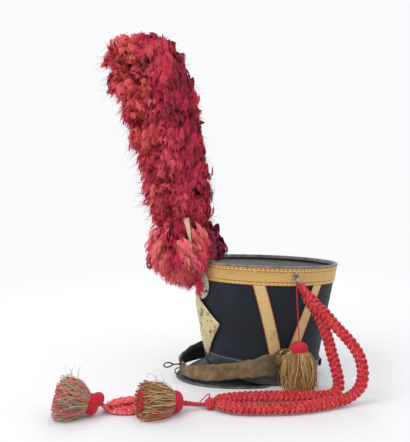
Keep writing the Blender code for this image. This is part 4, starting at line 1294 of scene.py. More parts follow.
@dataclass
class Tassel:
    """A wound head of one or two lobes and a bushy fringe of loose threads."""

    name: str
    start: Vector
    end: Vector
    length: float
    lobes: tuple[tuple[float, float, float, float], ...]
    fringe_radius: float
    nodes: tuple[str, ...]
    finish: Finish
    threads: int
    inner_red: float
    seed: int
    strays: int = 0
    thread_radius: float = 0.00062
    opening: float = 0.6
    closing: float = 0.5

    def build_head(self) -> Object:
        """The wound lobes, each with its place along, its rise, radius and half length."""
        turn = (self.end - self.start).to_track_quat("Z", "Y").to_matrix().to_4x4()
        bm = new_mesh()
        for along, rise, radius, half in self.lobes:
            def place(around: float, share: float) -> Vector:
                angle, lean = tau * around, pi * (0.999 * share + 0.0005)
                reach = radius * sin(lean) ** 0.75 * (1 + 0.03 * cos(26 * angle + 14 * share))
                return polar(angle, reach, along - half * cos(lean))

            made = lay_grid(bm, 52, 18, place)
            bmesh.ops.transform(bm, matrix=Matrix.Translation(self.start + UP * rise) @ turn, verts=made)
        close_seams(bm)
        keep_above_floor(bm)
        return dress(self.name + "_head", bm, HEAD_THREAD)

    def build_fringe(self) -> Object:
        """The loose threads, which burst out under the head and hang or lie to the foot, and a few strays."""
        chance = random.Random(self.seed)
        draw = chance.uniform
        turn = (self.end - self.start).to_track_quat("Z", "Y").to_matrix()
        fringe = Threads(4, 0.1)
        head = self.lobes[0]
        neck = head[0] + head[3] * 0.35
        peak = max(sin(self.closing * pi * (step / 10) ** self.opening) for step in range(11))
        for index in range(self.threads):
            angle, depth = draw(0, tau), sqrt(draw(0.03, 1.0))
            stray = chance.random() < 0.03
            wide = self.fringe_radius * depth * (draw(1.1, 1.45) if stray else draw(0.8, 1.06))
            narrow = head[2] * 0.82 * (0.3 + 0.7 * depth)
            inner = depth < 0.62
            red = chance.random() < self.inner_red * (1.0 if inner else 0.22)
            long = self.length * (draw(0.9, 1.0) if inner else draw(0.76, 0.96))
            first, second, third = (draw(0, 6.3) for _ in range(3))
            swing, wave = draw(-0.5, 0.5), draw(0.0006, 0.0020)
            points = []
            for share in EIGHTHS:
                full = sin(self.closing * pi * share**self.opening) / peak
                spread = narrow + (wide - narrow) * (share if inner else full)
                place = polar(angle + swing * share * share, spread, neck + (long - neck) * share)
                place += Vector((sin(9 * share + first), sin(8 * share + second), 0.0)) * (wave * share**0.5)
                world = self.start + turn @ place
                world.z = max(world.z, 0.0012 + 0.0007 * (index % 6) + 0.0003 * sin(9 * share + third))
                points.append(world)
            size = 0.0003 if stray else self.thread_radius * draw(0.75, 1.2) * (1.25 if red else 1.0)
            fringe.add(points, size, 1.0 if red else chance.betavariate(1.6, 1.6) * 0.8)
        narrow = head[2] * 0.8
        for index in range(self.strays):
            angle, curl = draw(0, tau), draw(0.5, 1.4)
            wide, long = self.fringe_radius * draw(1.1, 1.7), self.length * draw(0.5, 1.0)
            points = []
            for share in EIGHTHS:
                along = neck + (long - neck) * sin(2.0 * share * (0.7 + 0.3 * curl)) * 0.9
                spread = narrow + (wide - narrow) * share**0.7
                world = self.start + turn @ polar(angle + curl * share * share, spread, along)
                world.z = max(world.z, 0.001 + 0.0004 * index)
                points.append(world)
            fringe.add(points, draw(0.00022, 0.00034), draw(0.0, 0.5))
        return dress(self.name + "_fringe", fringe.mesh(), self.finish, self.nodes)

    def build(self) -> list[Object]:
        """Builds both pieces."""
        return [self.build_head(), self.build_fringe()]


@dataclass
class Plait:
    """A flat plait of doubled strands that starts as a thin twisted cord."""

    name: str
    lead: tuple
    route: tuple
    nodes: tuple[str, ...]
    width: float = 0.0195
    thickness: float = 0.0095
    pitch: float = 0.0245
    strands: int = 3
    yarn_radius: float = 0.0021
    floor_rise: float = 0.0032

    def flat_way(self, line: Line, share: float) -> Vector:
        """The direction of the plait's thin way: outwards where it hangs, steeply up where it lies."""
        point, along = line.at(share), line.along(share)
        hangs = ease((point.z - 0.012) / 0.05)
        way = LEFT_FRONT * hangs + Vector((0.56, -0.2, 0.8)) * (1 - hangs)
        return (way - along * way.dot(along)).normalized()

    def build(self) -> tuple[Object, Line]:
        """Builds the plait and returns it with its centre line."""
        line = Line(smooth_route(self.lead + self.route, 8))
        bm = new_mesh()
        begin = Line(smooth_route(self.lead, 8)).length / line.length * 0.55
        steps = int(line.length / 0.0016)
        shares = [step / steps for step in range(steps + 1)]
        ways = [self.flat_way(line, share) for share in shares]
        yarn = self.yarn_radius
        for strand in range(self.strands):
            for side in (-yarn, yarn):
                points = []
                for share, way in zip(shares, ways):
                    across = line.along(share).cross(way)
                    full = ease((share - begin) / 0.05) * ease((1.02 - share) / 0.05)
                    turn = tau * (share * line.length / self.pitch + strand / self.strands)
                    reach = (self.width / 2 - 2 * yarn) * (0.25 + 0.75 * full)
                    rise = (self.thickness / 2 - yarn) * (0.6 + 0.4 * full)
                    aside = reach * sin(turn) + side * 0.92 * (0.5 + 0.5 * full)
                    point = line.at(share) + across * aside + way * (rise * sin(2 * turn))
                    point.z = max(point.z + self.floor_rise * ease((0.03 - point.z) / 0.02) * full, yarn)
                    points.append(point)
                add_strand(
                    bm, points, lambda share: yarn * (0.7 + 0.3 * ease((share - begin) / 0.05)), 6,
                    flat=lambda share: ways[round(share * steps)], squeeze=0.85, tint=strand / 3,
                )
        close_seams(bm)
        return dress(self.name, bm, CORD, self.nodes), line


@dataclass
class Cords:
    """The cords from the hook: two plaits, their knot, the twisted tails, the leaf and the tassels."""

    lead_inner: tuple = tenths((1300, 137, 1755), (1298, 151, 1715), (1296, 188, 1660), (1296, 246, 1601))
    lead_outer: tuple = tenths((1355, 175, 1775), (1378, 185, 1730), (1412, 208, 1672), (1459, 252, 1599))
    braid_inner: tuple = tenths(
        (1300, 255, 1585), (1350, 325, 1455), (1415, 400, 1320), (1485, 465, 1145), (1555, 515, 930),
        (1615, 555, 700), (1675, 590, 500), (1720, 610, 335), (1750, 600, 210), (1760, 550, 120),
        (1745, 445, 72), (1730, 320, 68), (1700, 170, 68), (1640, -10, 68), (1570, -290, 68),
        (1505, -590, 68), (1465, -900, 68), (1485, -1140, 70), (1553, -1319, 78),
    )
    braid_outer: tuple = tenths(
        (1465, 260, 1585), (1515, 325, 1450), (1590, 450, 1325), (1675, 565, 1165), (1755, 680, 1025),
        (1830, 780, 890), (1900, 860, 730), (1950, 890, 555), (1970, 885, 415), (1985, 835, 275),
        (1985, 730, 155), (1990, 580, 85), (2035, 300, 68), (2085, 0, 68), (2080, -350, 68), (2030, -630, 68),
        (1960, -920, 68), (1850, -1150, 70), (1668, -1335, 78),
    )
    tail_middle: tuple = tenths(
        (1577, -1492, 78), (1575, -1560, 85), (1580, -1640, 100), (1590, -1730, 125), (1592, -1835, 148))
    tail_end: tuple = tenths(
        (1522, -1443, 55), (1465, -1500, 40), (1400, -1590, 33), (1340, -1720, 33), (1290, -1880, 33),
        (1235, -2020, 33), (1190, -2120, 34), (1165, -2190, 36),
    )
    leaf_rib: tuple = tenths(
        (1180, -2300, 45), (1205, -2480, 60), (1255, -2650, 60), (1310, -2790, 65), (1365, -2905, 105))
    knot_loop: tuple = tenths(
        (-20, -160, 35), (-10, -110, 80), (-5, -60, 130), (0, -20, 140), (0, -15, 110), (-5, -45, 75),
        (-10, -85, 40),
    )
    knot_centre: Vector = field(default_factory=lambda: Vector((0.1600, -0.1400, 0.0088)))
    plait_diameter: float = 0.020
    knot_radius: float = 0.0092
    knot_turns: int = 5
    twist_radius: float = 0.003
    leaf_centre: Vector = field(default_factory=lambda: Vector((0.122, -0.2575, 0.0038)))
    leaf_half_length: float = 0.040
    leaf_half_width: float = 0.034
    leaf_angle: float = radians(-68)
    leaf_rings: tuple = ((0.93, 0.0), (0.78, 0.0005), (0.62, 0.001), (0.46, 0.001), (0.3, 0.0008))
    hook_angle: float = radians(93)
    hook_drop: float = 0.0145
    hook_radius: float = 0.0065

    def twisted(
        self, name: str, line: Line, radius: float, nodes: Sequence[str], pitch: float = 0.011,
    ) -> Object:
        """A cord of two strands twisted together.

        Args:
            name: The piece's name.
            line: Its centre line.
            radius: Its radius.
            nodes: The CAD nodes that it replaces.
            pitch: Length of one turn.

        Returns:
            The object.
        """
        bm = new_mesh()
        steps = max(12, int(line.length / 0.001))
        for strand in range(2):
            points = []
            for share in (step / steps for step in range(steps + 1)):
                along = line.along(share)
                up = UP if abs(along.z) < 0.9 else Vector((1.0, 0.0, 0.0))
                first = (up - along * up.dot(along)).normalized()
                spot = polar(tau * share * line.length / pitch + pi * strand, radius * 0.48)
                points.append(line.at(share) + first * spot.x + along.cross(first) * spot.y)
            add_strand(bm, points, lambda share: radius * 0.52, 8)
        close_seams(bm)
        return dress(name, bm, TWIST, nodes)

    def build_knot(self) -> Object:
        """The round knot that gathers the plaits: a cord wound round a ball, and a loose loop."""
        points = []
        for share in (step / 150 for step in range(151)):
            lean, reach = pi * share, self.knot_radius * 0.72
            spot = polar(tau * self.knot_turns * share, sin(lean) * reach)
            points.append(self.knot_centre + Vector((spot.x, cos(lean) * reach, spot.y)))
        bm = strand_mesh(points, self.knot_radius * 0.28, 8)
        inner = bmesh.ops.create_icosphere(bm, subdivisions=3, radius=self.knot_radius * 0.78)["verts"]
        bmesh.ops.translate(bm, vec=self.knot_centre, verts=inner)
        route = [self.knot_centre + Vector(point) for point in self.knot_loop]
        add_strand(bm, smooth_route(route, 6), lambda share: 0.0009, 6)
        keep_above_floor(bm)
        return dress("cord_knot_wound", bm, TWIST, ("cord_knot",))

    def build_leaf(self, end_start: Vector, end_end: Vector) -> Object:
        """The flat leaf of plaited cord: a coiled outline with woven rows inside, its tip on the tassel."""
        centre = self.leaf_centre
        turn = Matrix.Rotation(self.leaf_angle, 3, "Z")
        tip = end_start - (end_end - end_start).normalized() * 0.0006 - centre
        to_tip = tip - turn @ Vector((self.leaf_half_length, 0.0, 0.0))

        def on_leaf(angle: float, size: float, up: float) -> Vector:
            spot = polar(angle, size, up)
            share = max(0.0, spot.x)
            spot.x *= self.leaf_half_length
            spot.y *= self.leaf_half_width * (1.0 - 0.5 * share**2)
            place = centre + turn @ spot + to_tip * ease((share - 0.75) / 0.25)
            place.z = max(place.z, GAP)
            return place

        bm = new_mesh()
        for ring, (size, height) in enumerate(self.leaf_rings):
            turns = [tau * step / 90 for step in range(91)]
            points = [on_leaf(angle, size, height + 0.0007 * cos(18 * angle + ring * 2)) for angle in turns]
            for strand in range(2):
                shifted = []
                for angle, point in zip(turns, points):
                    spot = polar(angle * 26 + pi * strand, 1.0)
                    outward = (point - Vector((centre.x, centre.y, point.z))).normalized()
                    shifted.append(point + outward * (spot.x * 0.0013) + UP * (0.0009 * spot.y))
                add_strand(bm, shifted, lambda share: 0.0016, 6, tint=0.3 + 0.1 * ring)
        close_seams(bm)
        back = lay_grid(bm, 24, 3, lambda u, v: on_leaf(tau * u, 0.05 + 0.85 * v, -0.0012))
        faces = list(dict.fromkeys(face for vert in back for face in vert.link_faces))
        bmesh.ops.solidify(bm, geom=faces, thickness=0.001)
        keep_above_floor(bm)
        return dress("raquette_plaited", bm, LEAF, ("raquette",))

    def build_hook(self) -> None:
        """The flower-shaped boss on the lace with its bent wire hook."""
        height = FORM.rim_height(self.hook_angle) - self.hook_drop
        out, radius = 2 * GAP + FORM.lace_thickness, self.hook_radius
        bm = turned([
            (0.0, 0.0), (radius, 0.0), (radius, 0.001), (radius * 0.8, 0.0024), (radius * 0.5, 0.0022),
            (radius * 0.42, 0.0034), (radius * 0.2, 0.0042), (0.0, 0.0043)], 48)
        for vert in bm.verts:
            if vert.co.xy.length > radius * 0.45:
                petal = 0.5 - 0.5 * cos(8 * atan2(vert.co.y, vert.co.x))
                vert.co.xy *= 1.0 - 0.2 * petal
                vert.co.z *= 1.0 - 0.25 * petal
        seat_on_crown(bm, self.hook_angle, height, out)
        outward = FORM.direction(self.hook_angle, height)
        root = FORM.point(self.hook_angle, height) + outward * (out + 0.0015)
        bend = ((0.0, -0.35), (0.35, -0.9), (0.7, -1.35), (1.15, -1.45), (1.5, -1.2), (1.6, -0.75))
        points = [root]
        points += [root + outward * (across * radius + 0.0015) + UP * (up * radius) for across, up in bend]
        add_strand(bm, smooth_route(points, 5), lambda share: 0.0014, 10)
        close_seams(bm)
        dress("cord_hook_flower", bm, GREY_METAL, ("cord_hook",))

    def declare(
        self, item: Object, line: Line, steps: int, diameter: float, pieces: list, **more: str,
    ) -> None:
        """Args:
            item: The piece.
            line: Its centre line.
            steps: Stretches that the line is given in.
            diameter: Its width.
            pieces: What hangs on it.
            **more: Its far end and how it lies.
        """
        points = [line.at(index / steps) for index in range(steps + 1)]
        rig.cord(
            item, exit=points[0], length=line.length, diameter=diameter, stiffness="limp", path=points,
            with_pieces=pieces, **more,
        )

    def build_side_tassel(self) -> None:
        """The tassel that hangs from the hook on its own thread."""
        height = FORM.rim_height(self.hook_angle) - self.hook_drop
        hook = FORM.point(self.hook_angle, height)
        start = Vector((hook.x + 0.0105, hook.y + 0.0015, 0.084))
        pieces = Tassel(
            "side_tassel", start, start - UP, 0.080, ((0.0103, 0.0, 0.0140, 0.0103),), 0.0290,
            ("tassel_side",), FRINGE, threads=900, inner_red=0.12, seed=4, closing=0.58,
        ).build()
        radius = 0.0012
        top = Vector((start.x - radius, start.y - 0.0014 - radius - GAP, height - 1.45 * self.hook_radius))
        low = Vector((top.x, start.y - 0.0040, top.z - 0.005))
        line = Line(smooth_route((top, low, low.lerp(start, 0.5), start, start - UP * 0.045), 8))
        thread = self.twisted("side_tassel_thread", line, radius, ("tassel_cord",), 0.005)
        self.declare(thread, line, 60, 2 * radius, pieces, far_end="object", lay="hanging")

    def build(self) -> None:
        """Builds the cords and what is on them."""
        self.build_hook()
        inner, inner_line = Plait(
            "plait_inner", self.lead_inner, self.braid_inner, ("lead_inner", "braid_inner")).build()
        outer, outer_line = Plait(
            "plait_outer", self.lead_outer, self.braid_outer, ("lead_outer", "braid_outer")).build()
        knot = self.build_knot()
        middle_line = Line(smooth_route(self.tail_middle, 8))
        tail_middle = self.twisted("tail_to_middle_tassel", middle_line, self.twist_radius, ("tail_middle",))
        middle = Tassel(
            "middle_tassel", Vector((0.1594, -0.1828, 0.0157)), Vector((0.1690, -0.2500, 0.0235)), 0.069,
            ((0.0100, 0.0, 0.0155, 0.0102),), 0.0285, ("tassel_middle",), MIDDLE_FRINGE, threads=760,
            inner_red=0.8, strays=16, seed=5,
        ).build()
        end_start, end_end = Vector((0.1405, -0.2985, 0.0157)), Vector((0.1350, -0.3720, 0.0330))
        end = Tassel(
            "end_tassel", end_start, end_end, 0.067,
            ((0.0130, -0.002, 0.0150, 0.0108), (0.0035, 0.0065, 0.0100, 0.0088)), 0.0310, ("tassel_end",),
            FLOOR_FRINGE, threads=900, inner_red=0.85, strays=22, seed=6, opening=0.7,
        ).build()
        leaf = self.build_leaf(end_start, end_end)
        end_line = Line(smooth_route((*self.tail_end, *self.leaf_rib, tuple(end_start)), 8))
        tail_end = self.twisted("tail_to_end_tassel", end_line, self.twist_radius, ("tail_end",))
        wide, loose = self.plait_diameter, {"far_end": "knot", "lay": "loose"}
        self.declare(inner, inner_line, 240, wide, [], **loose)
        self.declare(outer, outer_line, 240, wide, [knot, tail_middle, *middle], **loose)
        self.declare(tail_end, end_line, 60, 2 * self.twist_radius, [leaf, *end], **loose)
        self.build_side_tassel()


@dataclass
class Crown:
    """The felt body with its sunken top, binding, base band and bead."""

    columns: int = 168
    felt_rows: int = 16
    nap_wave: float = 0.0005
    top_depth: float = 0.009
    top_thickness: float = 0.002
    disc_rings: int = 26
    bead_radius: float = 0.0007
    bead_drop: float = 0.0022

    def wave(self, angle: float, height: float) -> float:
        """Small unevenness of the hand-shaped felt."""
        spot = Vector((sin(angle) * 2.2, cos(angle) * 2.2, height * 14))
        return self.nap_wave * (noise.noise(spot) - 0.6) if 0.01 < height < 0.19 else -0.0001

    def build_felt(self) -> None:
        """The felt wall, open below and above."""
        shares = [row / self.felt_rows for row in range(self.felt_rows + 1)]
        rows = [(-0.0004 if share in (0.0, 1.0) else 0.0, share) for share in shares]
        rows += [(-FORM.wall, 1 - share) for share in shares]
        corners = strip_corners(rows, FORM.felt_bottom, FORM.felt_top)
        dress("felt_body", ring_section(self.columns, corners, self.wave), FELT, ("crown",))

    def build_disc(self) -> None:
        """The sunken leather top with its stitched ring and shallow creases."""
        middle = Vector((0.0, FORM.top_shift, FORM.height - self.top_depth))

        def place(around: float, share: float) -> Vector:
            angle, reach = tau * (around % 1.0), 1 - share
            edge = FORM.point(angle, FORM.rim_height(angle) - self.top_depth, -FORM.wall - 2 * GAP)
            spot = middle.lerp(edge, reach)
            spot.z += 0.0007 * noise.noise(Vector((spot.x * 14, spot.y * 40, 0.3))) * ease((1 - reach) * 8)
            spot.z += 0.0009 * exp(-((reach - 0.955) / 0.012) ** 2) - 0.0022 * (1 - reach * reach)
            return spot

        bm = grid_mesh(120, self.disc_rings, place, 0.00001)
        dress("top_disc", bm, TOP_LEATHER, ("top_leather",), thickness=self.top_thickness, offset=-1.0)

    def build_binding(self) -> None:
        """The thin leather binding folded over the felt's upper edge."""
        wall = FORM.rim_thickness
        outside, inside = GAP + wall, -FORM.wall - GAP
        far = inside - wall
        rows = (
            (GAP, -FORM.rim_drop), (outside, -FORM.rim_drop), (outside, -0.0011), (outside - 0.0004, -0.0004),
            (outside - 0.0011, 0.0), (far + 0.0011, 0.0), (far + 0.0004, -0.0004), (far, -0.0011),
            (far, -0.0055), (inside, -0.0055), (inside, -wall), (GAP, -wall),
        )
        corners = [(out, lambda angle, drop=down: FORM.rim_height(angle) + drop) for out, down in rows]
        dress("top_binding", ring_section(self.columns, corners), RIM_LEATHER, ("top_rim",))

    def build_top_lace(self) -> None:
        """The wide woven lace with corded borders."""
        profile = (
            (0.0, 0.0), (0.75, 0.0), (1.0, 0.02), (1.0, 0.05), (0.72, 0.07), (0.72, 0.18), (1.0, 0.195),
            (1.0, 0.225), (0.8, 0.24), (0.8, 0.76), (1.0, 0.775), (1.0, 0.805), (0.72, 0.82), (0.72, 0.93),
            (1.0, 0.95), (1.0, 0.98), (0.75, 1.0), (0.0, 1.0),
        )
        rows = [(GAP + FORM.lace_thickness * out, share) for out, share in profile]
        bm = ring_section(self.columns, strip_corners(rows, FORM.lace_bottom, FORM.lace_top))
        set_strip_uv(bm, FORM.lace_bottom, FORM.lace_top)
        dress("lace_round_top", bm, TOP_LACE, ("top_lace",), sharp=70.0)

    def build_band(self) -> None:
        """The leather band round the base, its upper edge turned over, with a bead of the rim's leather along it,
        whose light grey is partly painted highlight.
        """
        profile = (
            (0.0, 0.0), (0.7, 0.0), (1.0, 0.02), (1.0, 0.1), (0.9, 0.5), (0.8, 0.86), (0.8, 0.9), (1.0, 0.92),
            (1.05, 0.96), (0.8, 1.0), (0.0, 1.0),
        )
        rows = [(GAP + FORM.band_thickness * out, share) for out, share in profile]
        bm = ring_section(self.columns, strip_corners(rows, FORM.band_bottom, FORM.band_top))
        dress("band_round_base", bm, BAND_LEATHER, ("base_band",))

        def place(around: float, share: float) -> Vector:
            angle = tau * (around % 1.0)
            bead = polar(tau * (share % 1.0), self.bead_radius)
            height = FORM.band_top(angle) - self.bead_drop + bead.y
            return FORM.point(angle, height, GAP + FORM.band_thickness + bead.x)

        dress("band_bead", grid_mesh(self.columns, 6, place), RIM_LEATHER)

    def build(self) -> None:
        """Builds the crown's pieces."""
        self.build_felt()
        self.build_disc()
        self.build_binding()
        self.build_top_lace()
        self.build_band()


@dataclass
class Chevron:
    """One V of lace from the top lace down to the base band, edged in dark red."""

    side: Side
    width: float = 0.0212
    angle: float = radians(90.6)
    point_height: float = 0.002
    spread: float = radians(143.5)
    columns: int = 10
    rows: int = 40
    edging_radius: float = 0.0008

    def edges(self, height: float) -> tuple[float, float]:
        """Inner and outer edge of an arm, as angles from the V's middle."""
        middle = self.spread * (height - self.point_height)
        half = self.width / 2 / FORM.half_sizes(height)[1]
        return max(0.0, middle - half), middle + half

    def on_arm(self, arm: int, across: float, up: float, out: float = GAP) -> Vector:
        """Point of an arm, `across` from its edge nearer the front to the other, `up` from below."""
        angle = self.angle
        for _ in range(4):
            low, high = FORM.band_top(angle) + GAP, FORM.lace_bottom(angle) - GAP
            height = low + (high - low) * up
            inner, outer = self.edges(height)
            left, right = (-outer, -inner) if arm < 0 else (inner, outer)
            angle = self.angle + left + (right - left) * across
        return FORM.point(self.side.value * angle, height, out)

    def build(self) -> None:
        """Builds the lace and its edging."""
        name = self.side.name.lower()
        bm, edging = new_mesh(), new_mesh()
        out = GAP + FORM.lace_thickness * 0.75
        for arm in (-1, 1):
            lay_grid(bm, self.rows, self.columns, lambda up, across, arm=arm: self.on_arm(
                arm, 1 - across, up, GAP + 0.0002 * sin(pi * across)))
            for across in (0.0, 1.0):
                points = [self.on_arm(arm, across, step / 30, out) for step in range(31)]
                if (arm < 0) == (across > 0.5):
                    points = [point for point in points if self.edges(point.z)[0] > 0.0005]
                if len(points) > 3:
                    add_strand(edging, points, lambda share: self.edging_radius, 6)
        if self.side is Side.RIGHT:
            bmesh.ops.reverse_faces(bm, faces=bm.faces)
        close_seams(bm, 0.00005)
        close_seams(edging)
        dress("chevron_lace_" + name, bm, SIDE_LACE, ("chevron_" + name,), thickness=FORM.lace_thickness)
        dress("chevron_edging_" + name, edging, RED_EDGE)


@dataclass
class Peak:
    """The arched peak with its stitched ridge and rounded binding."""

    columns: int = 96
    rows: int = 16
    reach_angle: float = radians(73)
    ridge_radius: float = 0.0007

    def build(self) -> None:
        """Builds the peak and its binding."""
        bm = grid_mesh(
            self.columns, self.rows, lambda u, v: FORM.peak_place((2 * u - 1) * self.reach_angle, 1 - v))
        dress("peak_leather", bm, PEAK_LEATHER, ("peak",), thickness=FORM.peak_thickness, bevel=0.0005)
        points = [
            FORM.peak_place((step / 50 - 1) * self.reach_angle * 0.98, 0.9)
            + UP * (FORM.peak_thickness * 1.12)
            for step in range(101)
        ]
        dress("peak_ridge", strand_mesh(points, self.ridge_radius, 6), PEAK_LEATHER)
        points = [FORM.peak_edge(FORM.peak_half_angle * (step / 60 - 1)) for step in range(121)]
        dress("peak_edge_binding", strand_mesh(points, FORM.binding_radius, 12), BINDING, ("peak_binding",))


@dataclass
class FrontPlate:
    """The bare lozenge plate with a raised bead, curved round the crown."""

    half_width: float = 0.050
    half_height: float = 0.056
    angle: float = radians(5)
    centre_height: float = 0.096
    tilt: float = radians(8)
    thickness: float = 0.001
    border: float = 0.001
    cells: int = 44

    def build(self) -> None:
        """Builds the plate."""
        turn = Matrix.Rotation(self.tilt, 3, "Z")

        def place(first: float, second: float) -> Vector:
            x, y = first - 0.5, second - 0.5
            inset = 0.5 - max(abs(x), abs(y))
            rise = self.border * exp(-((inset - 0.022) / 0.013) ** 2) + 0.0003 * ease(inset / 0.5)
            dent = 0.0005 * noise.noise(Vector((x * 5, y * 5, 2.0)))
            return turn @ Vector(((x - y) * self.half_width, (x + y) * self.half_height, rise + dent))

        bm = grid_mesh(self.cells, self.cells, place)
        low = 2 * GAP + FORM.band_thickness - self.border * 0.3
        high = FORM.cockade_outside() + GAP
        bend_round(bm, self.angle, self.centre_height, lambda spot: low + (high - low) * ease(
            (spot.y + self.half_height) / (2 * self.half_height) * 1.25))
        dress("lozenge_plate", bm, PLATE, ("front_plate",), thickness=self.thickness, bevel=0.0003)


@dataclass
class Cockade:
    """The round pleated cockade over the lace, with a small stud."""

    radius: float = 0.0275
    angle: float = radians(8)
    centre_height: float = 0.1685
    thickness: float = 0.0018
    dome: float = 0.0015
    pleats: int = 36

    def build(self) -> None:
        """Builds the cockade and its stud."""

        def place(around: float, share: float) -> Vector:
            turn, reach = tau * (around % 1.0), 1 - share
            pleat = cos(self.pleats * turn)
            rise = self.dome * (1 - reach * reach) + 0.0006 * pleat * ease((reach - 0.2) * 3)
            return polar(
                turn, reach * self.radius * (1 + 0.008 * pleat), rise + 0.0005 * cos(3 * tau * reach))

        bm = grid_mesh(self.pleats * 6, 18, place, 0.00001)
        out = 2 * GAP + FORM.lace_thickness
        bend_round(bm, self.angle, self.centre_height, lambda spot: out)
        dress("cockade_pleated", bm, COCKADE, ("cockade",), thickness=self.thickness * 0.7)
        stud = turned(((0.0, 0.0), (0.0026, 0.0), (0.0024, 0.001), (0.0014, 0.0017), (0.0, 0.0019)), 24)
        bend_round(
            stud, self.angle + radians(11), self.centre_height - 0.012,
            lambda spot: out + self.thickness + 0.0008,
        )
        dress("cockade_stud", stud, OLD_METAL)


@dataclass
class ChinStrap:
    """Both halves of the strap, its tie, the wire hook, the ring, the rosettes and the rear button."""

    width: float = 0.042
    thickness: float = 0.0022
    columns: int = 120
    rows: int = 14
    tie_half_angle: float = radians(6)
    tie_thickness: float = 0.005
    tie_height: float = 0.014
    wire_radius: float = 0.0012
    ring_height: float = 0.0125
    ring_radius: float = 0.0055
    ring_wire: float = 0.001
    thong_radius: float = 0.001
    thong_spread: float = 0.028
    rosette_radius: float = 0.017
    rosette_angle: float = radians(91)
    rosette_height: float = 0.051
    button_radius: float = 0.0073
    button_depth: float = 0.006
    button_angle: float = radians(165)
    button_height: float = 0.018
    left: tuple = (
        (1.6, 0.86, 0.05, 0.31), (10, 0.86, 0.01, 0.43), (22, 0.87, 0.01, 0.57), (32, 0.84, 0.01, 0.68),
        (41, 0.74, 0.04, 0.70), (46, 0.45, 0.03, 0.70), (52, 0.08, 0.06, 0.71), (60, 0.00, 0.18, 0.79),
        (76, 0.00, 0.34, 0.94), (90, 0.00, 0.50, 1.10), (98, 0.00, 0.66, 0.80),
    )
    right: tuple = (
        (1.6, 0.86, 0.21, 0.30), (5, 0.86, 0.19, 0.34), (14, 0.86, 0.15, 0.42), (26, 0.87, 0.13, 0.52),
        (38, 0.84, 0.12, 0.68), (50, 0.78, 0.12, 0.79), (60, 0.62, 0.14, 0.84), (68, 0.35, 0.26, 0.90),
        (78, 0.04, 0.36, 0.98), (90, 0.00, 0.50, 1.10), (98, 0.00, 0.66, 0.80),
    )

    def on_strap(self, side: Side, along: float, up: float, shift: float = 0.0) -> Vector:
        """Point of a half of the strap, from its table of degrees from the front, reach, lift and width.

        Args:
            side: Its side.
            along: Place from the front (0) to under the rosette (1).
            up: Place from its lower edge to its upper one.
            shift: Distance outside its inner face.

        Returns:
            The point.
        """
        rows = self.left if side is Side.LEFT else self.right
        degrees = rows[0][0] + (rows[-1][0] - rows[0][0]) * along
        angle = radians(degrees)
        reach, lift, wide = (read_curve(rows, column, degrees) for column in (1, 2, 3))
        height = FORM.peak_cover(angle, reach) + GAP + self.width * lift + self.width * wide * up
        away = (FORM.strap_place(angle, height, reach, shift) - FORM.point(
            self.rosette_angle, self.rosette_height)).length
        ripple = 0.00045 * cos(tau * away / 0.006) * ease((0.036 - away) / 0.012)
        swell = 0.0005 * cos(tau * up) + 0.0004 * noise.noise(Vector((degrees * 0.09, up * 2.5, 1.0)))
        spot = FORM.strap_place(angle, height, reach, shift + max(0.0, ripple) + max(0.0, swell))
        spot.x *= side.value
        return spot

    def build_half(self, side: Side) -> None:
        """One half of the strap with the doubled strip along its inner upper edge."""
        name = side.name.lower()
        bm = grid_mesh(self.columns, self.rows, lambda u, v: self.on_strap(side, u, v))
        inner = grid_mesh(
            self.columns, 4, lambda u, v: self.on_strap(side, 0.03 + 0.6 * u, 0.66 + 0.34 * v, -0.0015))
        if side is Side.RIGHT:
            for mesh in (bm, inner):
                bmesh.ops.reverse_faces(mesh, faces=mesh.faces)
        item = dress(
            "strap_" + name, bm, STRAP, ("chin_strap_" + name,), thickness=self.thickness,
            others=(STRAP_LINING,),
        )
        item.modifiers["wall"].material_offset = 1
        dress("strap_inner_strip_" + name, inner, STRIP, thickness=0.0011)

    def build_tie(self) -> None:
        """The leather knot behind the strap's ends, wound with a thong."""
        reach, half = self.left[0][1], self.tie_thickness / 2
        bottom = FORM.peak_cover(0.0, reach - (self.tie_thickness + 4 * GAP) / FORM.peak_depth) + GAP

        def place(u: float, v: float) -> Vector:
            bump = 0.0006 * noise.noise(Vector((u * 6, v * 5, 4.0)))
            angle = 2 * self.tie_half_angle * (u - 0.5)
            return FORM.strap_place(angle, bottom + self.tie_height * v, reach, -2 * half - 2 * GAP + bump)

        dress(
            "strap_tie_block", grid_mesh(24, 12, place), BLACK_LEATHER, ("strap_tie",),
            thickness=self.tie_thickness * 0.86, bevel=0.0012,
        )
        thong = new_mesh()
        for turn in range(4):
            points = []
            for step in range(33):
                swing = tau * step / 32
                angle = (turn - 1.5) * self.thong_spread + 0.01 * sin(swing)
                height = bottom + self.tie_height * (0.5 + 0.5 * sin(swing))
                points.append(
                    FORM.strap_place(angle, height, reach, (half + 0.0004) * cos(swing) - half - 2 * GAP))
            add_strand(thong, points, lambda share: self.thong_radius, 6)
        close_seams(thong)
        dress("strap_tie_thong", thong, RIM_LEATHER)

    def build_hook_and_ring(self) -> None:
        """The wire hook with its drop-shaped eye, and the small ring under it."""
        reach = self.left[0][1]
        height, shank, long, wide = 0.0245, 0.015, 0.016, 0.010
        front = FORM.strap_place(0.0, height, reach).y + GAP
        points = [Vector((0.0, front, height)), Vector((0.0, front - shank * 0.9, height))]
        for step in range(33):
            turn = tau * step / 32
            along = long / 2 * (1 - cos(turn))
            up = wide / 2 * sin(turn) * (0.55 + 0.45 * along / long)
            points.append(Vector((0.0007 * cos(turn / 2), front - shank - along, height + up)))
        dress("strap_wire_hook", strand_mesh(points, self.wire_radius, 10), OLD_METAL, ("strap_hook",))
        level, radius, wire = self.ring_height, self.ring_radius, self.ring_wire
        middle = FORM.strap_place(0.0, level + radius / 3, reach).y + GAP - radius - wire

        def ring(around: float, share: float) -> Vector:
            tube = polar(tau * (share % 1.0), wire)
            spot = polar(tau * (around % 1.0), radius + tube.x)
            return Vector((tube.y, middle + spot.x, level + spot.y))

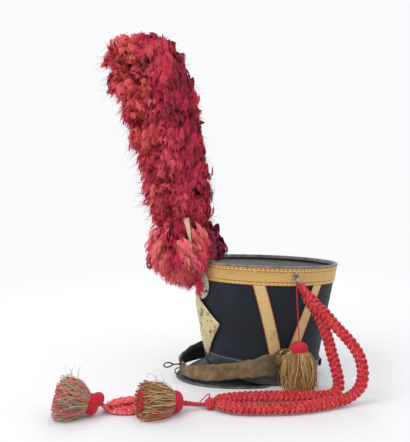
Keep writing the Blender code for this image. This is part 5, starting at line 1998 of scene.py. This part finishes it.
        bm = grid_mesh(40, 10, ring)
        face_outwards(bm)
        dress("strap_small_ring", bm, OLD_METAL, ("strap_ring",))

    def build_rosettes(self) -> None:
        """The ringed bosses over the strap's ends."""
        shape = (
            (0.0, 0.0), (1.0, 0.0), (1.0, 0.16), (0.97, 0.3), (0.91, 0.34), (0.86, 0.26), (0.8, 0.24),
            (0.75, 0.36), (0.7, 0.4), (0.64, 0.32), (0.56, 0.34), (0.5, 0.5), (0.44, 0.62), (0.36, 0.66),
            (0.3, 0.78), (0.2, 0.92), (0.1, 0.98), (0.0, 1.0),
        )
        radius = self.rosette_radius
        out = FORM.strap_seat() + self.thickness + 2 * GAP + 0.0006
        for side in Side:
            bm = turned([(reach * radius, 0.6 * level * radius) for reach, level in shape], 72)
            for vert in bm.verts:
                reach, turn = vert.co.xy.length / radius, atan2(vert.co.y, vert.co.x)
                if 0.52 < reach < 0.82:
                    vert.co.z += 0.0006 * cos(18 * turn)
                if reach > 0.88:
                    vert.co.z += 0.00025 * cos(36 * turn)
            seat_on_crown(bm, side.value * self.rosette_angle, self.rosette_height, out)
            name = side.name.lower()
            dress("rosette_boss_" + name, bm, BOSS_METAL, ("rosette_" + name,))

    def build_button(self) -> None:
        """The button low on the back."""
        shape = (
            (0.0, 0.0), (0.6, 0.0), (0.55, 0.25), (0.94, 0.33), (1.0, 0.45), (1.0, 0.65), (0.9, 0.84),
            (0.6, 0.97), (0.0, 1.0),
        )
        bm = turned([(reach * self.button_radius, level * self.button_depth) for reach, level in shape], 40)
        seat_on_crown(bm, self.button_angle, self.button_height, FORM.band_thickness + 2 * GAP)
        dress("rear_stud", bm, BLACK_LEATHER, ("rear_button",))

    def build(self) -> None:
        """Builds the strap and its fittings."""
        for side in Side:
            self.build_half(side)
        self.build_tie()
        self.build_hook_and_ring()
        self.build_rosettes()
        self.build_button()


@dataclass
class Plumage:
    """The feather ball, the quill and the tall drooping plume."""

    ball: Vector = field(default_factory=lambda: Vector((0.0, -0.1399, 0.215)))
    ball_radius: float = 0.066
    ball_half_height: float = 0.056
    base: Vector = field(default_factory=lambda: Vector((0.0, -0.1399, 0.2619)))
    quill_foot: Vector = field(default_factory=lambda: Vector((0.0585, -0.1460, 0.2400)))
    quill_top: Vector = field(default_factory=lambda: Vector((0.046, -0.1510, 0.2800)))
    height: float = 0.322
    lean: float = 0.228
    bunches: float = 7.0
    count: int = 5000
    wisps: int = 1700
    ball_count: int = 2100
    seed: int = 21
    rows: tuple = (
        (0.00, 0.034), (0.05, 0.048), (0.11, 0.055), (0.23, 0.0595), (0.39, 0.063), (0.54, 0.067),
        (0.71, 0.069), (0.93, 0.067), (1.00, 0.060),
    )
    drifts: tuple = ((8.1, 19.6, 2.2), (24.4, 7.7, 16.3), (1.9, 12.4, 30.8))
    patches: tuple = (
        (0.80, 0.27, 0.50, 0.7), (0.95, -0.15, 0.15, 0.2), (0.93, -0.05, -0.25, 0.3),
        (0.75, -0.60, 0.10, 0.15), (0.60, -0.60, 0.50, -0.5), (0.70, 0.62, 0.15, -0.5),
        (0.80, -0.50, -0.05, -0.4), (0.75, 0.40, -0.40, -0.3),
    )

    def axis(self, level: float) -> Vector:
        """The tall plume's axis at a height."""
        return Vector((self.base.x, self.base.y - self.lean * (level - self.base.z), level))

    def envelope(self, share: float, outward: Vector) -> float:
        """Distance of the feathers' tips from the axis, largest at the lower end of each bunch."""
        front = max(0.0, -outward.y)
        reach = read_curve(self.rows, 1, share) + 0.013 * front * exp(-((share - 0.8) / 0.15) ** 2)
        reach -= (0.003 + 0.014 * ease((share - 0.72) / 0.28)) * max(0.0, outward.y)
        reach += 0.010 * front * ease(2.6 - share * 10)
        offset = noise.noise(Vector((outward.x * 1.3, outward.y * 1.3, 5.0)))
        bunch = (share * self.bunches + 0.8 * offset) % 1.0
        return reach * (1.05 - (0.10 + 0.08 * front) * bunch)

    def tint_at(self, spot: Vector, chance: random.Random, lift: float = 0.0) -> float:
        """A tint that drifts over the plumage in patches, raised by `lift`, which carries painted light and shade."""
        drift = noise.noise(spot * 26.0) * 0.55 + noise.noise(spot * 70.0) * 0.45
        return min(1.0, max(0.0, 0.45 + drift + lift + chance.uniform(-0.14, 0.14)))

    def build_upper(self) -> None:
        """The tall plume: blades and fans whose tips follow its outline, over down painted dark as shade, and loose
        barbs.
        """
        chance = random.Random(self.seed)
        draw = chance.uniform
        blades, fans, wisps = Feathers(), Feathers(fan=True), Threads(3, 0.75)
        floor = self.base.z + 0.009
        top = self.base.z + self.height - 0.008
        for _ in range(self.count):
            cap = chance.random() < 0.075
            share, angle = 1.0 if cap else chance.random() ** 0.93, draw(0, tau)
            outward = polar(angle, 1.0)
            front = ease((0.25 - outward.y) / 1.1)
            fan = chance.random() < 0.12 + 0.4 * front
            layer = draw(0.80, 1.02)
            if cap:
                layer *= chance.random() ** 0.6
            drop = 0.006 * layer**2 + 0.010 + 0.008 * front if cap else 0.0
            level = self.base.z + self.height * share - drop
            tip = self.axis(level) + outward * (self.envelope(share, outward) * layer)
            swirl = self.swirl_at(tip)
            rise = draw(-1.15, -0.3) * (1 - front) + draw(-0.6, 0.3) * front
            rise = 0.3 if cap else rise + max(0.0, share - 0.88) * 13
            way = outward * (draw(0.25, 0.7) + 0.4 * front) + swirl * 0.95 + UP * rise
            way = (way + Vector((draw(-1, 1), draw(-1, 1), 0.0)) * 0.18).normalized()
            long = draw(0.024, 0.038) if fan else draw(0.015, 0.027)
            root = tip - way * long
            root.z += max(0.0, floor - tip.z) - max(0.0, tip.z - top, root.z + 0.004 - top)
            if self.hides_quill(root) or self.hides_quill(root + way * long):
                continue
            facing = (outward * (not cap) + UP * 0.35 + swirl * (0.2 if cap else 0.5)).normalized()
            # Painted light and shade: feathers on the outside and towards the front are tinted lighter, those deeper
            # in darker.
            lift = (0.0 if cap else layer - 0.93) * 1.6 + 0.5 * front - 0.24
            lift += 0.35 * front * ease((share - 0.76) / 0.2)
            wide = long * (draw(0.35, 0.55) if fan else draw(0.42, 0.6))
            (fans if fan else blades).add(
                root, way, facing, long, wide, draw(0.0, 0.25), self.tint_at(tip, chance, lift))
        for _ in range(self.wisps):
            share, angle = chance.random(), draw(0, tau)
            outward = polar(angle, 1.0)
            root = self.axis(self.base.z + self.height * share)
            root += outward * self.envelope(share, outward) * draw(0.75, 0.95)
            long, sag = draw(0.010, 0.024), draw(-0.3, 0.8)
            way = (outward + UP * draw(-1.0, 0.5)).normalized()
            points = [root + way * (long * part) - UP * (sag * long * part**2) for part in EIGHTHS[::2]]
            if max(point.z for point in points) < top + 0.004:
                wisps.add(points, draw(0.0002, 0.0004), draw(0.0, 0.6))
        dress("plume_blades", blades.mesh(), UPPER_FEATHER, ("plume_upper",), sharp=80.0)
        dress("plume_fans", fans.mesh(), UPPER_FEATHER, sharp=80.0)
        dress("plume_wisps", wisps.mesh(), UPPER_FEATHER)
        # A core of down painted dark as shade, which shows in the gaps between feathers.
        profile = [(0.0, 0.006)]
        for step in range(21):
            reach = 0.62 * read_curve(self.rows, 1, step / 20) * sin(pi * (0.12 + 0.76 * step / 20)) ** 0.4
            profile.append((reach, self.height * (0.02 + 0.93 * step / 20)))
        profile.append((0.0, self.height * 0.955))
        bm = turned(profile, 40)
        for vert in bm.verts:
            vert.co = self.base + Vector((vert.co.x, vert.co.y - self.lean * vert.co.z, vert.co.z))
        dress("plume_down", bm, DOWN_PAINTED_SHADE)

    def swirl_at(self, spot: Vector) -> Vector:
        """A lean that drifts through the plumage, so that neighbouring feathers curl alike."""
        place = spot * 24.0
        return Vector([noise.noise(place + Vector(shift)) for shift in self.drifts])

    def hides_quill(self, spot: Vector) -> bool:
        """Whether a point lies before the quill's visible end."""
        share = (spot.z - 0.243) / 0.048
        return 0.0 < share < 1.0 and spot.x > 0.015 and abs(spot.y + 0.1465 + 0.005 * share) < 0.0065

    def clear_of_crown(self, spot: Vector) -> bool:
        """Whether a point lies outside the crown's wall or above the rim."""
        if spot.z > FORM.rim_height(0.0) + 0.002:
            return True
        return spot.xy.length > self.crown_edge(spot).xy.length

    def crown_edge(self, spot: Vector) -> Vector:
        """The point just outside the crown and the cockade that faces a point."""
        angle = atan2(spot.x, FORM.top_shift * spot.z / FORM.height - spot.y)
        return FORM.point(angle, spot.z, FORM.cockade_outside() + 0.0015)

    def build_ball(self) -> None:
        """The feather ball, one long feather of it hanging over the cockade."""
        chance = random.Random(self.seed + 2)
        draw = chance.uniform
        blades, fans = Feathers(), Feathers(fan=True)
        for index in range(self.ball_count):
            tall, angle = 1 - 2 * (index + 0.5) / self.ball_count, index * GOLDEN_TURN
            normal = polar(angle, sqrt(max(0.0, 1 - tall * tall)), tall)
            layer = draw(0.80, 1.0) + 0.11 * noise.noise(normal * 2.3 + Vector((4.0, 1.0, 0.0)))
            half = self.ball_half_height * (1.2 if tall > 0 else 1.0)
            wide = self.ball_radius * (1.03 + 0.10 * tall + 0.10 * ease((-normal.y - 0.6) / 0.35))
            tip = self.ball + Vector((normal.x * wide, normal.y * wide, normal.z * half)) * layer
            swirl = self.swirl_at(tip + Vector((0.125, 0.0, 0.0)))
            way = (normal * draw(0.5, 1.1) + swirl * 1.1 + UP * draw(-0.9, 0.0)).normalized()
            fan = chance.random() < 0.55
            long = draw(0.024, 0.036) if fan else draw(0.016, 0.030)
            root = tip - way * long
            spots = (tip, root, root.lerp(tip, 0.5))
            if any(self.hides_quill(spot) or not self.clear_of_crown(spot) for spot in spots):
                continue
            facing = (normal + UP * 0.3 + swirl * 0.4).normalized()
            # Painted light and shade: feathers on the outside and towards the front are tinted lighter, those deeper
            # in darker; the listed patches lighten or darken parts of the ball.
            lift = (layer - 0.93) * 1.4 - 0.60 * normal.y + 0.10
            for *spot, strength in self.patches:
                lift += strength * ease((normal.dot(Vector(spot).normalized()) - 0.89) / 0.1)
            wide = long * (draw(0.35, 0.6) if fan else draw(0.3, 0.45))
            (fans if fan else blades).add(
                root, way, facing, long, wide, draw(0.0, 0.2), self.tint_at(tip, chance, lift))
        # Two long feathers hang over the cockade; the second is tinted darker as painted shade.
        for shift, tint in ((0.0, 0.55), (0.005, 0.3)):
            root = Vector((0.035 - shift, -0.1268, 0.184))
            way = Vector((0.0405, -0.1285 + shift, 0.150 + shift)) - root
            blades.add(root, way.normalized(), LEFT_FRONT, way.length, 0.0125, 0.0, tint)
        dress("ball_blades", blades.mesh(), BALL_FEATHER, ("plume_ball",), sharp=80.0)
        dress("ball_fans", fans.mesh(), BALL_FEATHER, sharp=80.0)
        # A core of down painted dark as shade fills the ball's gaps.
        core = new_mesh()
        for vert in bmesh.ops.create_icosphere(core, subdivisions=4, radius=1.0)["verts"]:
            size = Vector((self.ball_radius, self.ball_radius, self.ball_half_height))
            spot = self.ball + vert.co * size * 0.6
            if not self.clear_of_crown(spot):
                spot.xy = self.crown_edge(spot).xy
            vert.co = spot
        dress("ball_down", core, DOWN_PAINTED_SHADE)

    def build_quill(self) -> None:
        """The beige flattened quill that shows between the ball and the plume."""
        bm = new_mesh()
        points = [self.quill_foot.lerp(self.quill_top, step / 12) for step in range(13)]
        add_strand(
            bm, points, lambda share: 0.0010 + 0.0040 * share**0.7, 14, flat=lambda share: LEFT_FRONT,
            squeeze=0.35,
        )
        close_seams(bm)
        dress("plume_quill", bm, QUILL, ("plume_stem",))

    def build(self) -> None:
        """Builds the plumage."""
        self.build_upper()
        self.build_ball()
        self.build_quill()


def main() -> None:
    """Builds the hat."""
    logging.basicConfig(level=logging.INFO, format="%(name)s: %(message)s")
    studio = Studio()
    studio.set_camera()
    studio.lay_floor()
    studio.set_light()
    Cords().build()
    Crown().build()
    for side in Side:
        Chevron(side).build()
    Peak().build()
    FrontPlate().build()
    Cockade().build()
    ChinStrap().build()
    Plumage().build()
    SIZES["visual"] = [list(corner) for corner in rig.bounds()]
    with open("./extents.json", "w") as file:
        json.dump(SIZES, file)


if __name__ == "__main__":
    main()
